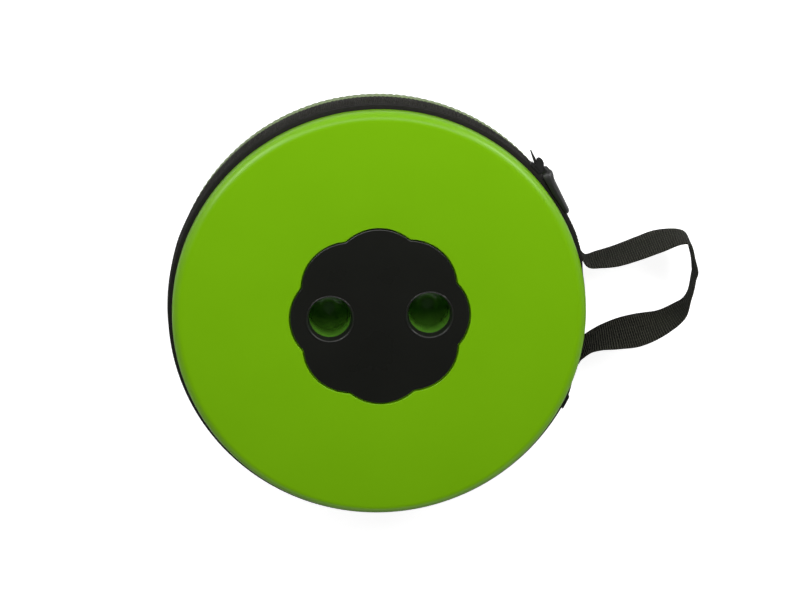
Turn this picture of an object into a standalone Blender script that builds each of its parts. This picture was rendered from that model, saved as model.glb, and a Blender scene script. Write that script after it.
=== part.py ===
"""Folding camping stool, folded flat: a round zip-shut puck that telescopes into a seat.

Ten nested rings and a seat tube slide out of a shallow base. Each ring carries six lugs
at its foot, which catch under the inward lip of the ring outside it, and each lip has six
notches through which those lugs are fitted. A moulded seat with a lobed pull plate covers
the stack, and a fabric wall with a zip closes the gap between seat and base.
Metres, +Z up, the floor at z = 0, the carrying loop at +X.
"""

import math

import bmesh
import bpy
from mathutils import Matrix, Vector

MM = 0.001

# Clearances between pieces
SEAT_GAP = 0.3 * MM          # between faces that rest on or touch each other
SLIDE_GAP = 0.4 * MM         # radial play of a ring in its neighbour
POCKET_GAP = 0.35 * MM       # round the pull plate in its pocket
SCREW_GAP = 0.3 * MM         # radial play of a screw in its hole

# Telescoping stack
RING_HEIGHT = 38.0 * MM
RING_WALL = 2.0 * MM
LUG_COUNT = 6
LUG_REACH = 3.6 * MM         # how far a lug stands out from its ring
LUG_HEIGHT = 3.0 * MM
LUG_RISE = 0.4 * MM          # lug's underside above the ring's bottom edge
LIP_THICKNESS = 2.0 * MM
NOTCH_STUB = 0.2 * MM        # lip left standing at the root of a notch
RING_COLUMNS = 36
LUG_COLUMNS = 1
NOTCH_COLUMNS = 2
COLUMN_EASE = math.radians(0.6)   # lugs narrower, and notches wider, than their columns

# Base
FOOT_HEIGHT = 1.7 * MM
FOOT_RING_RADIUS = 116.0 * MM
FOOT_RING_WIDTH = 12.0 * MM
FOOT_PAD_RADIUS = 20.0 * MM
FOOT_CHAMFER = 0.5 * MM
BASE_FLOOR = 2.0 * MM
BASE_WALL = 2.3 * MM
BASE_INSET = 1.7 * MM        # base wall inside the seat's outer edge
BASE_CHAMFER = 1.5 * MM

# Seat shell
SEAT_RADIUS = 125.0 * MM
SEAT_WALL = 2.5 * MM
SEAT_FILLET = 9.0 * MM
SKIRT_HEIGHT = 11.8 * MM
SEAT_COLUMNS = 48
FILLET_STEPS = 4
RIB_COUNT = 8
RIB_DEPTH = 5.0 * MM
RIB_THICKNESS = 1.6 * MM
HUB_MARGIN = 8.0 * MM        # hub beyond the seat tube
HUB_THICKNESS = 3.0 * MM

# Pull plate and its finger cups
LOBE_COUNT = 8
LOBE_RADIUS = 28.7 * MM
LOBE_OFFSET = 25.8 * MM
LOBE_STEPS = 6
LOBE_TURN = math.radians(1.8)
PLATE_THICKNESS = 2.0 * MM
PLATE_EDGE = 0.7 * MM
FINGER_SPACING = 60.0 * MM
FINGER_RADIUS = 12.5 * MM
COLLAR_WALL = 1.2 * MM
COLLAR_DEPTH = 3.6 * MM
RIM_WIDTH = 1.6 * MM
RIM_RISE = 0.4 * MM
CUP_WALL = 1.4 * MM
CUP_DEPTH = 33.0 * MM
CUP_DRAFT = 1.6 * MM         # how much narrower the cup is at its floor
CUP_FILLET = 4.0 * MM
CUP_FLANGE_WIDTH = 1.8 * MM
CUP_FLANGE = 1.2 * MM
CUP_CLEARANCE = 8.0 * MM     # least room between the cups and the seat tube
CUP_COLUMNS = 16

# Seat tube's fastening
FLANGE_THICKNESS = 2.0 * MM
FLANGE_WIDTH = 8.0 * MM
FLANGE_SCREWS = 4
PLATE_SCREWS = 2
PLATE_SCREW_OFFSET = 36.0 * MM
SCREW_RADIUS = 1.5 * MM
SCREW_HEAD_RADIUS = 3.0 * MM
WASHER_HEAD_RADIUS = 5.8 * MM
SCREW_HEAD_HEIGHT = 2.0 * MM
SCREW_BITE = 2.4 * MM        # how far a screw goes into the piece it holds
BOSS_RADIUS = 4.0 * MM
SCREW_COLUMNS = 8

# Fabric wall, zip and grip ring
FABRIC = 1.5 * MM
WALL_BULGE = 3.2 * MM        # furthest that the wall stands out past the seat's edge
WALL_TOP_OUT = 2.6 * MM      # the same at the zip
HEM_HEIGHT = 7.5 * MM
HEM_LIFT = 2.8 * MM          # hem above the base's underside
WALL_COLUMNS = 48
WALL_STEPS = 5
TAPE_WIDTH = 5.0 * MM
TAPE_HEIGHT = 1.9 * MM
ZIP_GAP = 1.6 * MM           # between the two tapes, for the slider's keel
GRIP_RIBS = 60
GRIP_THICKNESS = 0.9 * MM
GRIP_RELIEF = 0.4 * MM
GRIP_LIFT = 0.8 * MM         # grip ring's lower edge below the hem's

# Zip slider and puller
PARK_ANGLE = math.radians(41.0)
BOX_ANGLE = math.radians(331.0)
BOX_ARC = math.radians(4.0)
BOX_DEPTH = 1.5 * MM
SLIDER_LENGTH = 9.0 * MM
SLIDER_PLATE = 2.0 * MM
KEEL_WIDTH = 3.0 * MM
BAR_RADIUS = 0.8 * MM
EAR_THICKNESS = 0.9 * MM
TONGUE_LENGTH = 6.0 * MM
TONGUE_HEIGHT = 3.0 * MM
TONGUE_RISE = 2.0 * MM
TONGUE_THICKNESS = 1.2 * MM
KNUCKLE_WALL = 0.8 * MM
TAB_LENGTH = 11.0 * MM
TAB_THICKNESS = 1.0 * MM
GRIP_CLEARANCE = 1.0 * MM    # from the slider's end to the grip
GRIP_LENGTH = 28.5 * MM
GRIP_ROOT_WIDTH = 6.0 * MM
GRIP_MID_WIDTH = 9.0 * MM
GRIP_TIP_WIDTH = 7.0 * MM
GRIP_ROOT_DEPTH = 3.4 * MM
GRIP_MID_DEPTH = 3.8 * MM
GRIP_TIP_DEPTH = 2.8 * MM
PULLER_LEAN = math.radians(10.0)  # puller turned in from the tangent, to lie on the wall

# Carrying loop
STRAP_WIDTH = 25.0 * MM
STRAP_THICKNESS = 1.4 * MM
STRAP_STEPS = 3              # slices between two points of the loop's route
UPPER_TAIL_ARC = math.radians(14.5)
LOWER_TAIL_ARC = math.radians(4.5)
TAIL_STEPS = 4
# The loop's route: out from the wall along X, along Y, both in millimetres, and the
# lean of its width in degrees
LOOP_ROUTE = (
    (0.8, 21.6, 0.0), (9.7, 22.0, 11.0), (20.6, 24.2, 18.0), (35.9, 28.2, 23.0),
    (50.7, 31.6, 18.0), (62.2, 31.4, 5.0), (66.4, 25.0, 0.0), (66.2, 14.0, 0.0),
    (63.8, 2.5, 4.0), (59.2, -10.5, 18.0), (48.3, -19.8, 30.0), (34.2, -24.6, 38.0),
    (19.5, -26.2, 36.0), (8.1, -29.0, 22.0), (1.1, -30.8, 6.0),
)

# Heights that follow from the sizes above
FLOOR_BOTTOM = FOOT_HEIGHT + SEAT_GAP
FLOOR_TOP = FLOOR_BOTTOM + BASE_FLOOR
RING_BOTTOM = FLOOR_TOP + SEAT_GAP
WALL_TOP = RING_BOTTOM + RING_HEIGHT
LOWER_TAPE_BOTTOM = WALL_TOP + SEAT_GAP
ZIP_LOW = LOWER_TAPE_BOTTOM + TAPE_HEIGHT
ZIP_HIGH = ZIP_LOW + ZIP_GAP
ZIP_MIDDLE = (ZIP_LOW + ZIP_HIGH) / 2
SKIRT_BOTTOM = ZIP_HIGH + TAPE_HEIGHT + SEAT_GAP
SEAT_TOP = SKIRT_BOTTOM + SKIRT_HEIGHT
SEAT_UNDERSIDE = SEAT_TOP - SEAT_WALL
POCKET_FLOOR = SEAT_UNDERSIDE - SEAT_GAP
HUB_BOTTOM = POCKET_FLOOR - HUB_THICKNESS
PLATE_BOTTOM = POCKET_FLOOR + SEAT_GAP
PLATE_TOP = PLATE_BOTTOM + PLATE_THICKNESS
CUP_TOP = POCKET_FLOOR
FLANGE_TOP = HUB_BOTTOM - SEAT_GAP
STRAP_MIDDLE = FLOOR_BOTTOM + (WALL_TOP - FLOOR_BOTTOM) * 0.62

# Radii that follow from the sizes above
BASE_RADIUS = SEAT_RADIUS - BASE_INSET
BASE_INNER = BASE_RADIUS - BASE_WALL
CUP_INNER = FINGER_RADIUS + COLLAR_WALL + SEAT_GAP
CUP_OUTER = CUP_INNER + CUP_WALL
CUP_FLANGE_RADIUS = CUP_OUTER + CUP_FLANGE_WIDTH
OUTER_STAGE = BASE_INNER - SLIDE_GAP - LUG_REACH
LEAST_TUBE = FINGER_SPACING / 2 + CUP_OUTER + CUP_CLEARANCE + RING_WALL
RING_PITCH = RING_WALL + SLIDE_GAP + LUG_REACH
RING_COUNT = int((OUTER_STAGE - LEAST_TUBE) / RING_PITCH)
TUBE_RADIUS = OUTER_STAGE - RING_COUNT * RING_PITCH
TUBE_INNER = TUBE_RADIUS - RING_WALL
HUB_RADIUS = TUBE_RADIUS + HUB_MARGIN
FLANGE_RADIUS = TUBE_RADIUS + FLANGE_WIDTH
FLANGE_SCREW_RADIUS = TUBE_RADIUS + FLANGE_WIDTH / 2
ZIP_OUTER = SEAT_RADIUS + WALL_TOP_OUT
ZIP_INNER = ZIP_OUTER - TAPE_WIDTH
WALL_INNER = BASE_RADIUS + SEAT_GAP
HEM_OUTER = WALL_INNER + FABRIC
SLIDER_FACE = ZIP_OUTER + SEAT_GAP + SLIDER_PLATE
KNUCKLE_RADIUS = BAR_RADIUS + SEAT_GAP + KNUCKLE_WALL
BAR_AXIS_RADIUS = SLIDER_FACE + SEAT_GAP + KNUCKLE_RADIUS
GRIP_START = SLIDER_LENGTH / 2 + GRIP_CLEARANCE
GRIP_MIDDLE = GRIP_START + GRIP_LENGTH * 0.35
GRIP_END = GRIP_START + GRIP_LENGTH
TAIL_INNER = SEAT_RADIUS + WALL_BULGE + SEAT_GAP
TAIL_OUTER = TAIL_INNER + STRAP_THICKNESS
TAIL_MIDDLE = (TAIL_INNER + TAIL_OUTER) / 2
ROOT_HALF = STRAP_THICKNESS / 2 + SEAT_GAP
UPPER_ROOT = math.asin((LOOP_ROUTE[0][1] * MM + ROOT_HALF) / TAIL_MIDDLE)
LOWER_ROOT = math.asin((LOOP_ROUTE[-1][1] * MM - ROOT_HALF) / TAIL_MIDDLE)

GREEN = (0.156, 0.412, 0.0045)
DARK_GREEN = (0.075, 0.20, 0.01)
BLACK = (0.0116, 0.012, 0.0112)
WEBBING = (0.022, 0.023, 0.019)
CHARCOAL = (0.03, 0.031, 0.03)
GREY_RUBBER = (0.045, 0.045, 0.045)
STEEL = (0.55, 0.56, 0.57)


def clear_scene():
    """Remove whatever the scene holds at the start."""
    for old in list(bpy.data.objects):
        bpy.data.objects.remove(old, do_unlink=True)


def material(name, colour, roughness, metallic=0.0):
    """A Principled material of one colour, made once per name."""
    found = bpy.data.materials.get(name)
    if found:
        return found
    made = bpy.data.materials.new(name)
    made.use_nodes = True
    shader = made.node_tree.nodes["Principled BSDF"]
    shader.inputs["Base Color"].default_value = (*colour, 1.0)
    shader.inputs["Roughness"].default_value = roughness
    shader.inputs["Metallic"].default_value = metallic
    return made


def finish_object(name, bm, finish=None, smooth=True):
    """Turn a closed bmesh into an object with its faces pointing out."""
    bmesh.ops.recalc_face_normals(bm, faces=bm.faces[:])
    mesh = bpy.data.meshes.new(name)
    bm.to_mesh(mesh)
    bm.free()
    if smooth:
        mesh.shade_smooth()
        mesh.set_sharp_from_angle(angle=math.radians(35))
    made = bpy.data.objects.new(name, mesh)
    bpy.context.collection.objects.link(made)
    if finish:
        mesh.materials.append(finish)
    return made


def empty(name, location, turn=0.0, parent=None):
    """An axis that a moving piece hangs on."""
    made = bpy.data.objects.new(name, None)
    bpy.context.collection.objects.link(made)
    made.location = location
    made.rotation_euler.z = turn
    made.parent = parent
    return made


def boolean(target, tool, operation):
    """Cut or join with a tool that stays in the scene as a hidden guide."""
    modifier = target.modifiers.new(f"{operation.lower()} {tool.name}", "BOOLEAN")
    modifier.operation = operation
    modifier.solver = "EXACT"
    modifier.object = tool
    tool.parent = target
    tool.hide_render = True
    tool.display_type = "WIRE"


def add_turned(bm, profile, columns, centre=(0.0, 0.0), radius_at=None):
    """Turn a profile of (radius, height) about a vertical axis.

    A profile that starts and ends on the axis is a solid, and any other is a closed ring.
    radius_at changes a profile's radius with the angle, for an outline that isn't round.
    """
    turned = []
    for radius, height in profile:
        if radius == 0.0:
            turned.append([bm.verts.new((centre[0], centre[1], height))])
            continue
        row = []
        for column in range(columns):
            angle = math.tau * column / columns
            reach = radius_at(radius, angle) if radius_at else radius
            x = centre[0] + reach * math.cos(angle)
            y = centre[1] + reach * math.sin(angle)
            row.append(bm.verts.new((x, y, height)))
        turned.append(row)
    solid = len(turned[0]) == 1 and len(turned[-1]) == 1
    pairs = list(zip(turned, turned[1:]))
    if not solid:
        pairs.append((turned[-1], turned[0]))
    for low, high in pairs:
        for column in range(columns):
            following = (column + 1) % columns
            corners = [low[column % len(low)], low[following % len(low)]]
            corners += [high[following % len(high)], high[column % len(high)]]
            bm.faces.new(list(dict.fromkeys(corners)))


def turned_object(name, profile, columns, finish=None, **options):
    """One turned piece as an object."""
    bm = bmesh.new()
    add_turned(bm, profile, columns, **options)
    return finish_object(name, bm, finish)


def add_arc_block(bm, inner, outer, low, high, start, end, steps):
    """A block bent round the vertical axis, between two radii, heights and angles."""
    slices = []
    for step in range(steps + 1):
        angle = start + (end - start) * step / steps
        corners = ((inner, low), (outer, low), (outer, high), (inner, high))
        along = (math.cos(angle), math.sin(angle))
        slices.append([bm.verts.new((r * along[0], r * along[1], z)) for r, z in corners])
    add_skin(bm, slices)


def add_skin(bm, slices):
    """Close a row of outlines into a solid with flat ends."""
    sides = len(slices[0])
    for near, far in zip(slices, slices[1:]):
        for side in range(sides):
            following = (side + 1) % sides
            bm.faces.new((near[side], near[following], far[following], far[side]))
    bm.faces.new(slices[0])
    bm.faces.new(list(reversed(slices[-1])))


def add_box(bm, low, high):
    """A box between two corners."""
    corners = ((low[0], low[1]), (high[0], low[1]), (high[0], high[1]), (low[0], high[1]))
    add_skin(bm, [[bm.verts.new((x, y, z)) for x, y in corners] for z in (low[2], high[2])])


def column_angle(columns):
    """The angle that a number of the rings' columns span."""
    return math.tau * columns / RING_COLUMNS


def lugs(name, radius):
    """Six lugs at the foot of a ring of the given outer radius."""
    bm = bmesh.new()
    for lug in range(LUG_COUNT):
        start = math.tau * lug / LUG_COUNT
        end = start + column_angle(LUG_COLUMNS)
        add_arc_block(bm, radius - RING_WALL / 2, radius + LUG_REACH, LUG_RISE,
                      LUG_RISE + LUG_HEIGHT, start + COLUMN_EASE, end - COLUMN_EASE,
                      LUG_COLUMNS)
    return finish_object(name, bm, smooth=False)


def notches(name, wall_inner, lip_inner, top):
    """Six gaps through a lip, half a lug spacing away from the lugs."""
    bm = bmesh.new()
    for notch in range(LUG_COUNT):
        start = math.tau * (notch + 0.5) / LUG_COUNT
        end = start + column_angle(NOTCH_COLUMNS)
        add_arc_block(bm, lip_inner - LUG_REACH, wall_inner - NOTCH_STUB,
                      top - LIP_THICKNESS * 1.5, top + LIP_THICKNESS,
                      start - COLUMN_EASE, end + COLUMN_EASE, NOTCH_COLUMNS)
    return finish_object(name, bm, smooth=False)


def ring_radius(number):
    """Outer radius of a ring, counted from 1 at the outside."""
    return TUBE_RADIUS + (RING_COUNT + 1 - number) * RING_PITCH


def telescoping_ring(number, finish):
    """One stage: a plain wall with a lip at its head and lugs at its foot."""
    name = f"ring_{number}"
    outer = ring_radius(number)
    inner = outer - RING_WALL
    lip = ring_radius(number + 1) + SLIDE_GAP
    profile = [
        (inner, 0.0), (outer, 0.0), (outer, RING_HEIGHT), (lip, RING_HEIGHT),
        (lip, RING_HEIGHT - LIP_THICKNESS), (inner, RING_HEIGHT - LIP_THICKNESS),
    ]
    ring = turned_object(name, profile, RING_COLUMNS, finish)
    boolean(ring, lugs(f"{name}_lug_tool", outer), "UNION")
    boolean(ring, notches(f"{name}_notch_tool", inner, lip, RING_HEIGHT), "DIFFERENCE")
    ring.location.z = RING_BOTTOM
    return ring


def base_shell(finish):
    """The tray that holds the folded stack, with the outermost lip."""
    lip = ring_radius(1) + SLIDE_GAP
    profile = [
        (0.0, FLOOR_BOTTOM), (BASE_RADIUS - BASE_CHAMFER, FLOOR_BOTTOM),
        (BASE_RADIUS, FLOOR_BOTTOM + BASE_CHAMFER), (BASE_RADIUS, WALL_TOP),
        (lip, WALL_TOP), (lip, WALL_TOP - LIP_THICKNESS),
        (BASE_INNER, WALL_TOP - LIP_THICKNESS), (BASE_INNER, FLOOR_TOP), (0.0, FLOOR_TOP),
    ]
    shell = turned_object("base_shell", profile, RING_COLUMNS, finish)
    boolean(shell, notches("base_notch_tool", BASE_INNER, lip, WALL_TOP), "DIFFERENCE")
    return shell


def feet(finish):
    """The rubber ring and centre pad that the stool stands on."""
    inner = FOOT_RING_RADIUS - FOOT_RING_WIDTH
    profile = [
        (inner, FOOT_HEIGHT), (inner, FOOT_CHAMFER), (inner + FOOT_CHAMFER, 0.0),
        (FOOT_RING_RADIUS - FOOT_CHAMFER, 0.0), (FOOT_RING_RADIUS, FOOT_CHAMFER),
        (FOOT_RING_RADIUS, FOOT_HEIGHT),
    ]
    turned_object("base_foot_ring", profile, RING_COLUMNS, finish)
    pad = [
        (0.0, 0.0), (FOOT_PAD_RADIUS - FOOT_CHAMFER, 0.0), (FOOT_PAD_RADIUS, FOOT_CHAMFER),
        (FOOT_PAD_RADIUS, FOOT_HEIGHT), (0.0, FOOT_HEIGHT),
    ]
    turned_object("centre_foot_pad", pad, CUP_COLUMNS, finish)


def wall_outside(height):
    """Outer radius of the fabric wall at a height: in at the hem, out at two thirds."""
    bottom = FLOOR_BOTTOM + HEM_LIFT
    share = (height - bottom) / (WALL_TOP - bottom)
    straight = HEM_OUTER + (ZIP_OUTER - HEM_OUTER) * share
    peak = SEAT_RADIUS + WALL_BULGE
    swell = peak - (HEM_OUTER + (ZIP_OUTER - HEM_OUTER) * 2 / 3)
    return straight + swell * math.sin(math.pi * share ** 1.7)


def fabric_wall(finish):
    """The soft wall, held by its hem at the foot and by the zip at the head."""
    bottom = FLOOR_BOTTOM + HEM_LIFT
    heights = [bottom, bottom + HEM_HEIGHT]
    for step in range(1, WALL_STEPS):
        rise = (WALL_TOP - bottom - HEM_HEIGHT) * step / (WALL_STEPS - 1)
        heights.append(bottom + HEM_HEIGHT + rise)
    outside = [(HEM_OUTER, heights[0]), (HEM_OUTER, heights[1])]
    outside += [(wall_outside(z), z) for z in heights[2:]]
    inside = [(radius - FABRIC, z) for radius, z in reversed(outside)]
    turned_object("fabric_wall", outside + inside, WALL_COLUMNS, finish)


def grip_ring(finish):
    """The ribbed ring that clamps the wall's hem to the base."""
    inner = HEM_OUTER + SEAT_GAP
    outer = inner + GRIP_THICKNESS
    low = FLOOR_BOTTOM + HEM_LIFT - GRIP_LIFT
    high = FLOOR_BOTTOM + HEM_LIFT + HEM_HEIGHT

    def ribbed(radius, angle):
        column = round(angle / math.tau * GRIP_RIBS * 2)
        return radius - GRIP_RELIEF if column % 2 and radius > inner else radius

    profile = [(inner, low), (outer, low), (outer, high), (inner, high)]
    turned_object("base_grip_ring", profile, GRIP_RIBS * 2, finish, radius_at=ribbed)


def zip_tapes(finish):
    """Two facing tapes, one on the base and one on the seat."""
    for name, bottom in (("zip_lower_tape", LOWER_TAPE_BOTTOM), ("zip_upper_tape", ZIP_HIGH)):
        top = bottom + TAPE_HEIGHT
        profile = [(ZIP_INNER, bottom), (ZIP_OUTER, bottom), (ZIP_OUTER, top), (ZIP_INNER, top)]
        turned_object(name, profile, WALL_COLUMNS, finish)


def zip_ends(finish):
    """The box at the end of the lower tape and the pin that plugs into it from above."""
    inner = ZIP_OUTER + SEAT_GAP
    outer = inner + BOX_DEPTH
    half = BOX_ARC / 2
    heights = {
        "zip_box": (LOWER_TAPE_BOTTOM, ZIP_HIGH - SEAT_GAP),
        "zip_pin": (ZIP_HIGH, ZIP_HIGH + TAPE_HEIGHT),
    }
    for name, (low, high) in heights.items():
        bm = bmesh.new()
        add_arc_block(bm, inner, outer, low, high, BOX_ANGLE - half, BOX_ANGLE + half, 2)
        finish_object(name, bm, finish)


def lobed(inset_radius, angle):
    """Polar radius of the pull plate's outline, drawn with lobes of the given radius."""
    share = math.tau / LOBE_COUNT
    lean = (angle + share / 2) % share - share / 2
    across = LOBE_OFFSET * math.sin(lean)
    return LOBE_OFFSET * math.cos(lean) + math.sqrt(inset_radius ** 2 - across ** 2)


def finger_centres():
    """Centres of the two finger cups, left and right."""
    return {"left": (-FINGER_SPACING / 2, 0.0), "right": (FINGER_SPACING / 2, 0.0)}


def screw_places(count, radius, first):
    """Centres of a ring of screws."""
    angles = [first + math.tau * number / count for number in range(count)]
    return [(radius * math.cos(angle), radius * math.sin(angle)) for angle in angles]


def flange_screw_places():
    """The screws that hold the tube's flange to the hub."""
    return screw_places(FLANGE_SCREWS, FLANGE_SCREW_RADIUS, math.tau / 8)


def plate_screw_places():
    """The screws that hold the pull plate from below."""
    return screw_places(PLATE_SCREWS, PLATE_SCREW_OFFSET, math.tau / 4)


def fillet(radius, centre_r, centre_z, steps):
    """Points of a quarter round from straight up to straight out."""
    points = []
    for step in range(steps + 1):
        angle = math.pi / 2 * (1 - step / steps)
        points.append((centre_r + radius * math.cos(angle), centre_z + radius * math.sin(angle)))
    return points


def seat_ribs():
    """Radial ribs under the seat, from beside the hub to inside the skirt."""
    bm = bmesh.new()
    start = HUB_RADIUS + SEAT_GAP
    end = SEAT_RADIUS - SEAT_WALL / 2
    low = SEAT_UNDERSIDE - RIB_DEPTH
    high = SEAT_UNDERSIDE + SEAT_WALL / 4
    shelf = SEAT_RADIUS - SEAT_FILLET - SEAT_WALL / 2
    step = HUB_BOTTOM + SEAT_WALL / 4
    outline = [
        (start, step), (FLANGE_RADIUS + SEAT_WALL, step), (FLANGE_RADIUS + 2 * SEAT_WALL, low),
        (shelf, low), (end, low - SEAT_WALL), (end, SEAT_TOP - SEAT_FILLET), (shelf, high),
        (start, high),
    ]
    for number in range(RIB_COUNT):
        turn = Matrix.Rotation(math.tau * (number + 0.5) / RIB_COUNT, 3, "Z")
        sides = []
        for across in (-RIB_THICKNESS / 2, RIB_THICKNESS / 2):
            corners = [turn @ Vector((x, across, z)) for x, z in outline]
            sides.append([bm.verts.new(corner) for corner in corners])
        add_skin(bm, sides)
    return finish_object("seat_rib_tool", bm, smooth=False)


def seat_pocket():
    """The lobed opening that the pull plate drops into."""
    low = SEAT_UNDERSIDE - SEAT_WALL
    high = SEAT_TOP + SEAT_WALL
    reach = LOBE_RADIUS + POCKET_GAP
    profile = [(0.0, low), (reach, low), (reach, high), (0.0, high)]
    columns = LOBE_COUNT * LOBE_STEPS
    tool = turned_object("seat_pocket_tool", profile, columns, radius_at=lobed)
    tool.rotation_euler.z = LOBE_TURN
    return tool


def hub_holes():
    """Holes through the hub for the cups, the plate's bosses and the flange screws."""
    bm = bmesh.new()
    through = CUP_OUTER + SEAT_GAP
    counterbore = CUP_FLANGE_RADIUS + SEAT_GAP
    shelf = CUP_TOP - CUP_FLANGE - 2 * SEAT_GAP
    below = HUB_BOTTOM - SEAT_WALL
    above = SEAT_TOP
    for centre in finger_centres().values():
        profile = [(0.0, below), (through, below), (through, shelf), (counterbore, shelf),
                   (counterbore, above), (0.0, above)]
        add_turned(bm, profile, CUP_COLUMNS, centre)
    for centre in plate_screw_places():
        reach = BOSS_RADIUS + SCREW_GAP
        profile = [(0.0, below), (reach, below), (reach, above), (0.0, above)]
        add_turned(bm, profile, SCREW_COLUMNS, centre)
    for centre in flange_screw_places():
        reach = SCREW_RADIUS + SCREW_GAP
        top = HUB_BOTTOM + SCREW_BITE + SCREW_GAP
        profile = [(0.0, below), (reach, below), (reach, top), (0.0, top)]
        add_turned(bm, profile, SCREW_COLUMNS, centre)
    return finish_object("hub_hole_tool", bm, smooth=False)


def seat_shell(finish):
    """The moulded seat: a rounded lid with a lobed opening, a skirt and ribs below."""
    outer_centre = (SEAT_RADIUS - SEAT_FILLET, SEAT_TOP - SEAT_FILLET)
    inner_fillet = SEAT_FILLET - SEAT_WALL
    profile = [(0.0, SEAT_TOP)]
    profile += fillet(SEAT_FILLET, *outer_centre, FILLET_STEPS)
    profile += [(SEAT_RADIUS, SKIRT_BOTTOM), (SEAT_RADIUS - SEAT_WALL, SKIRT_BOTTOM)]
    profile += reversed(fillet(inner_fillet, *outer_centre, FILLET_STEPS - 2))
    profile.append((0.0, SEAT_UNDERSIDE))
    shell = turned_object("seat_shell", profile, SEAT_COLUMNS, finish)
    boolean(shell, seat_ribs(), "UNION")
    boolean(shell, seat_pocket(), "DIFFERENCE")
    return shell


def seat_hub(finish):
    """The disc under the seat that floors the pocket and holds the cups and the tube."""
    profile = [
        (0.0, HUB_BOTTOM), (HUB_RADIUS, HUB_BOTTOM), (HUB_RADIUS, POCKET_FLOOR),
        (0.0, POCKET_FLOOR),
    ]
    hub = turned_object("seat_hub", profile, SEAT_COLUMNS, finish)
    boolean(hub, hub_holes(), "DIFFERENCE")
    return hub


def seat_tube(finish):
    """The innermost stage, screwed to the seat through its flange."""
    foot = RING_BOTTOM
    profile = [
        (TUBE_INNER, foot), (TUBE_RADIUS, foot), (TUBE_RADIUS, FLANGE_TOP - FLANGE_THICKNESS),
        (FLANGE_RADIUS, FLANGE_TOP - FLANGE_THICKNESS), (FLANGE_RADIUS, FLANGE_TOP),
        (TUBE_INNER, FLANGE_TOP),
    ]
    tube = turned_object("seat_tube", profile, RING_COLUMNS, finish)
    lug_tool = lugs("seat_tube_lug_tool", TUBE_RADIUS)
    lug_tool.location.z = foot
    boolean(tube, lug_tool, "UNION")
    bm = bmesh.new()
    reach = SCREW_RADIUS + SCREW_GAP
    for centre in flange_screw_places():
        profile = [(0.0, FLANGE_TOP - 2 * FLANGE_THICKNESS),
                   (reach, FLANGE_TOP - 2 * FLANGE_THICKNESS),
                   (reach, FLANGE_TOP + FLANGE_THICKNESS), (0.0, FLANGE_TOP + FLANGE_THICKNESS)]
        add_turned(bm, profile, SCREW_COLUMNS, centre)
    boolean(tube, finish_object("flange_hole_tool", bm, smooth=False), "DIFFERENCE")
    return tube


def plate_additions():
    """Collars and rims round the finger holes, and bosses for the screws."""
    bm = bmesh.new()
    inside = (PLATE_BOTTOM + PLATE_TOP) / 2
    collar = FINGER_RADIUS + COLLAR_WALL
    rim = FINGER_RADIUS + RIM_WIDTH
    foot = PLATE_TOP - COLLAR_DEPTH
    for centre in finger_centres().values():
        profile = [
            (0.0, foot), (collar, foot), (collar, inside), (rim, inside), (rim, PLATE_TOP),
            (rim - RIM_RISE, PLATE_TOP + RIM_RISE), (0.0, PLATE_TOP + RIM_RISE),
        ]
        add_turned(bm, profile, CUP_COLUMNS, centre)
    for centre in plate_screw_places():
        low = HUB_BOTTOM + SEAT_GAP
        profile = [(0.0, low), (BOSS_RADIUS, low), (BOSS_RADIUS, inside), (0.0, inside)]
        add_turned(bm, profile, SCREW_COLUMNS, centre)
    return finish_object("plate_collar_tool", bm, smooth=False)


def plate_holes():
    """Finger holes with an eased mouth, and blind holes for the screws."""
    bm = bmesh.new()
    foot = PLATE_TOP - COLLAR_DEPTH - PLATE_THICKNESS
    mouth = FINGER_RADIUS + RIM_RISE
    for centre in finger_centres().values():
        profile = [
            (0.0, foot), (FINGER_RADIUS, foot), (FINGER_RADIUS, PLATE_TOP),
            (mouth, PLATE_TOP + 2 * RIM_RISE), (0.0, PLATE_TOP + 2 * RIM_RISE),
        ]
        add_turned(bm, profile, CUP_COLUMNS, centre)
    for centre in plate_screw_places():
        low = HUB_BOTTOM - PLATE_THICKNESS
        high = HUB_BOTTOM + SCREW_BITE + 2 * SCREW_GAP
        reach = SCREW_RADIUS + SCREW_GAP
        profile = [(0.0, low), (reach, low), (reach, high), (0.0, high)]
        add_turned(bm, profile, SCREW_COLUMNS, centre)
    return finish_object("plate_hole_tool", bm, smooth=False)


def centre_plate(finish):
    """The eight-lobed pull plate with two finger holes."""
    profile = [
        (0.0, PLATE_BOTTOM), (LOBE_RADIUS, PLATE_BOTTOM), (LOBE_RADIUS, PLATE_TOP - PLATE_EDGE),
        (LOBE_RADIUS - PLATE_EDGE * 0.3, PLATE_TOP - PLATE_EDGE * 0.3),
        (LOBE_RADIUS - PLATE_EDGE, PLATE_TOP), (0.0, PLATE_TOP),
    ]
    columns = LOBE_COUNT * LOBE_STEPS
    bm = bmesh.new()
    add_turned(bm, profile, columns, radius_at=lobed)
    bmesh.ops.rotate(bm, verts=bm.verts, matrix=Matrix.Rotation(LOBE_TURN, 3, "Z"))
    plate = finish_object("centre_plate", bm, finish)
    boolean(plate, plate_additions(), "UNION")
    boolean(plate, plate_holes(), "DIFFERENCE")
    return plate


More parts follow.
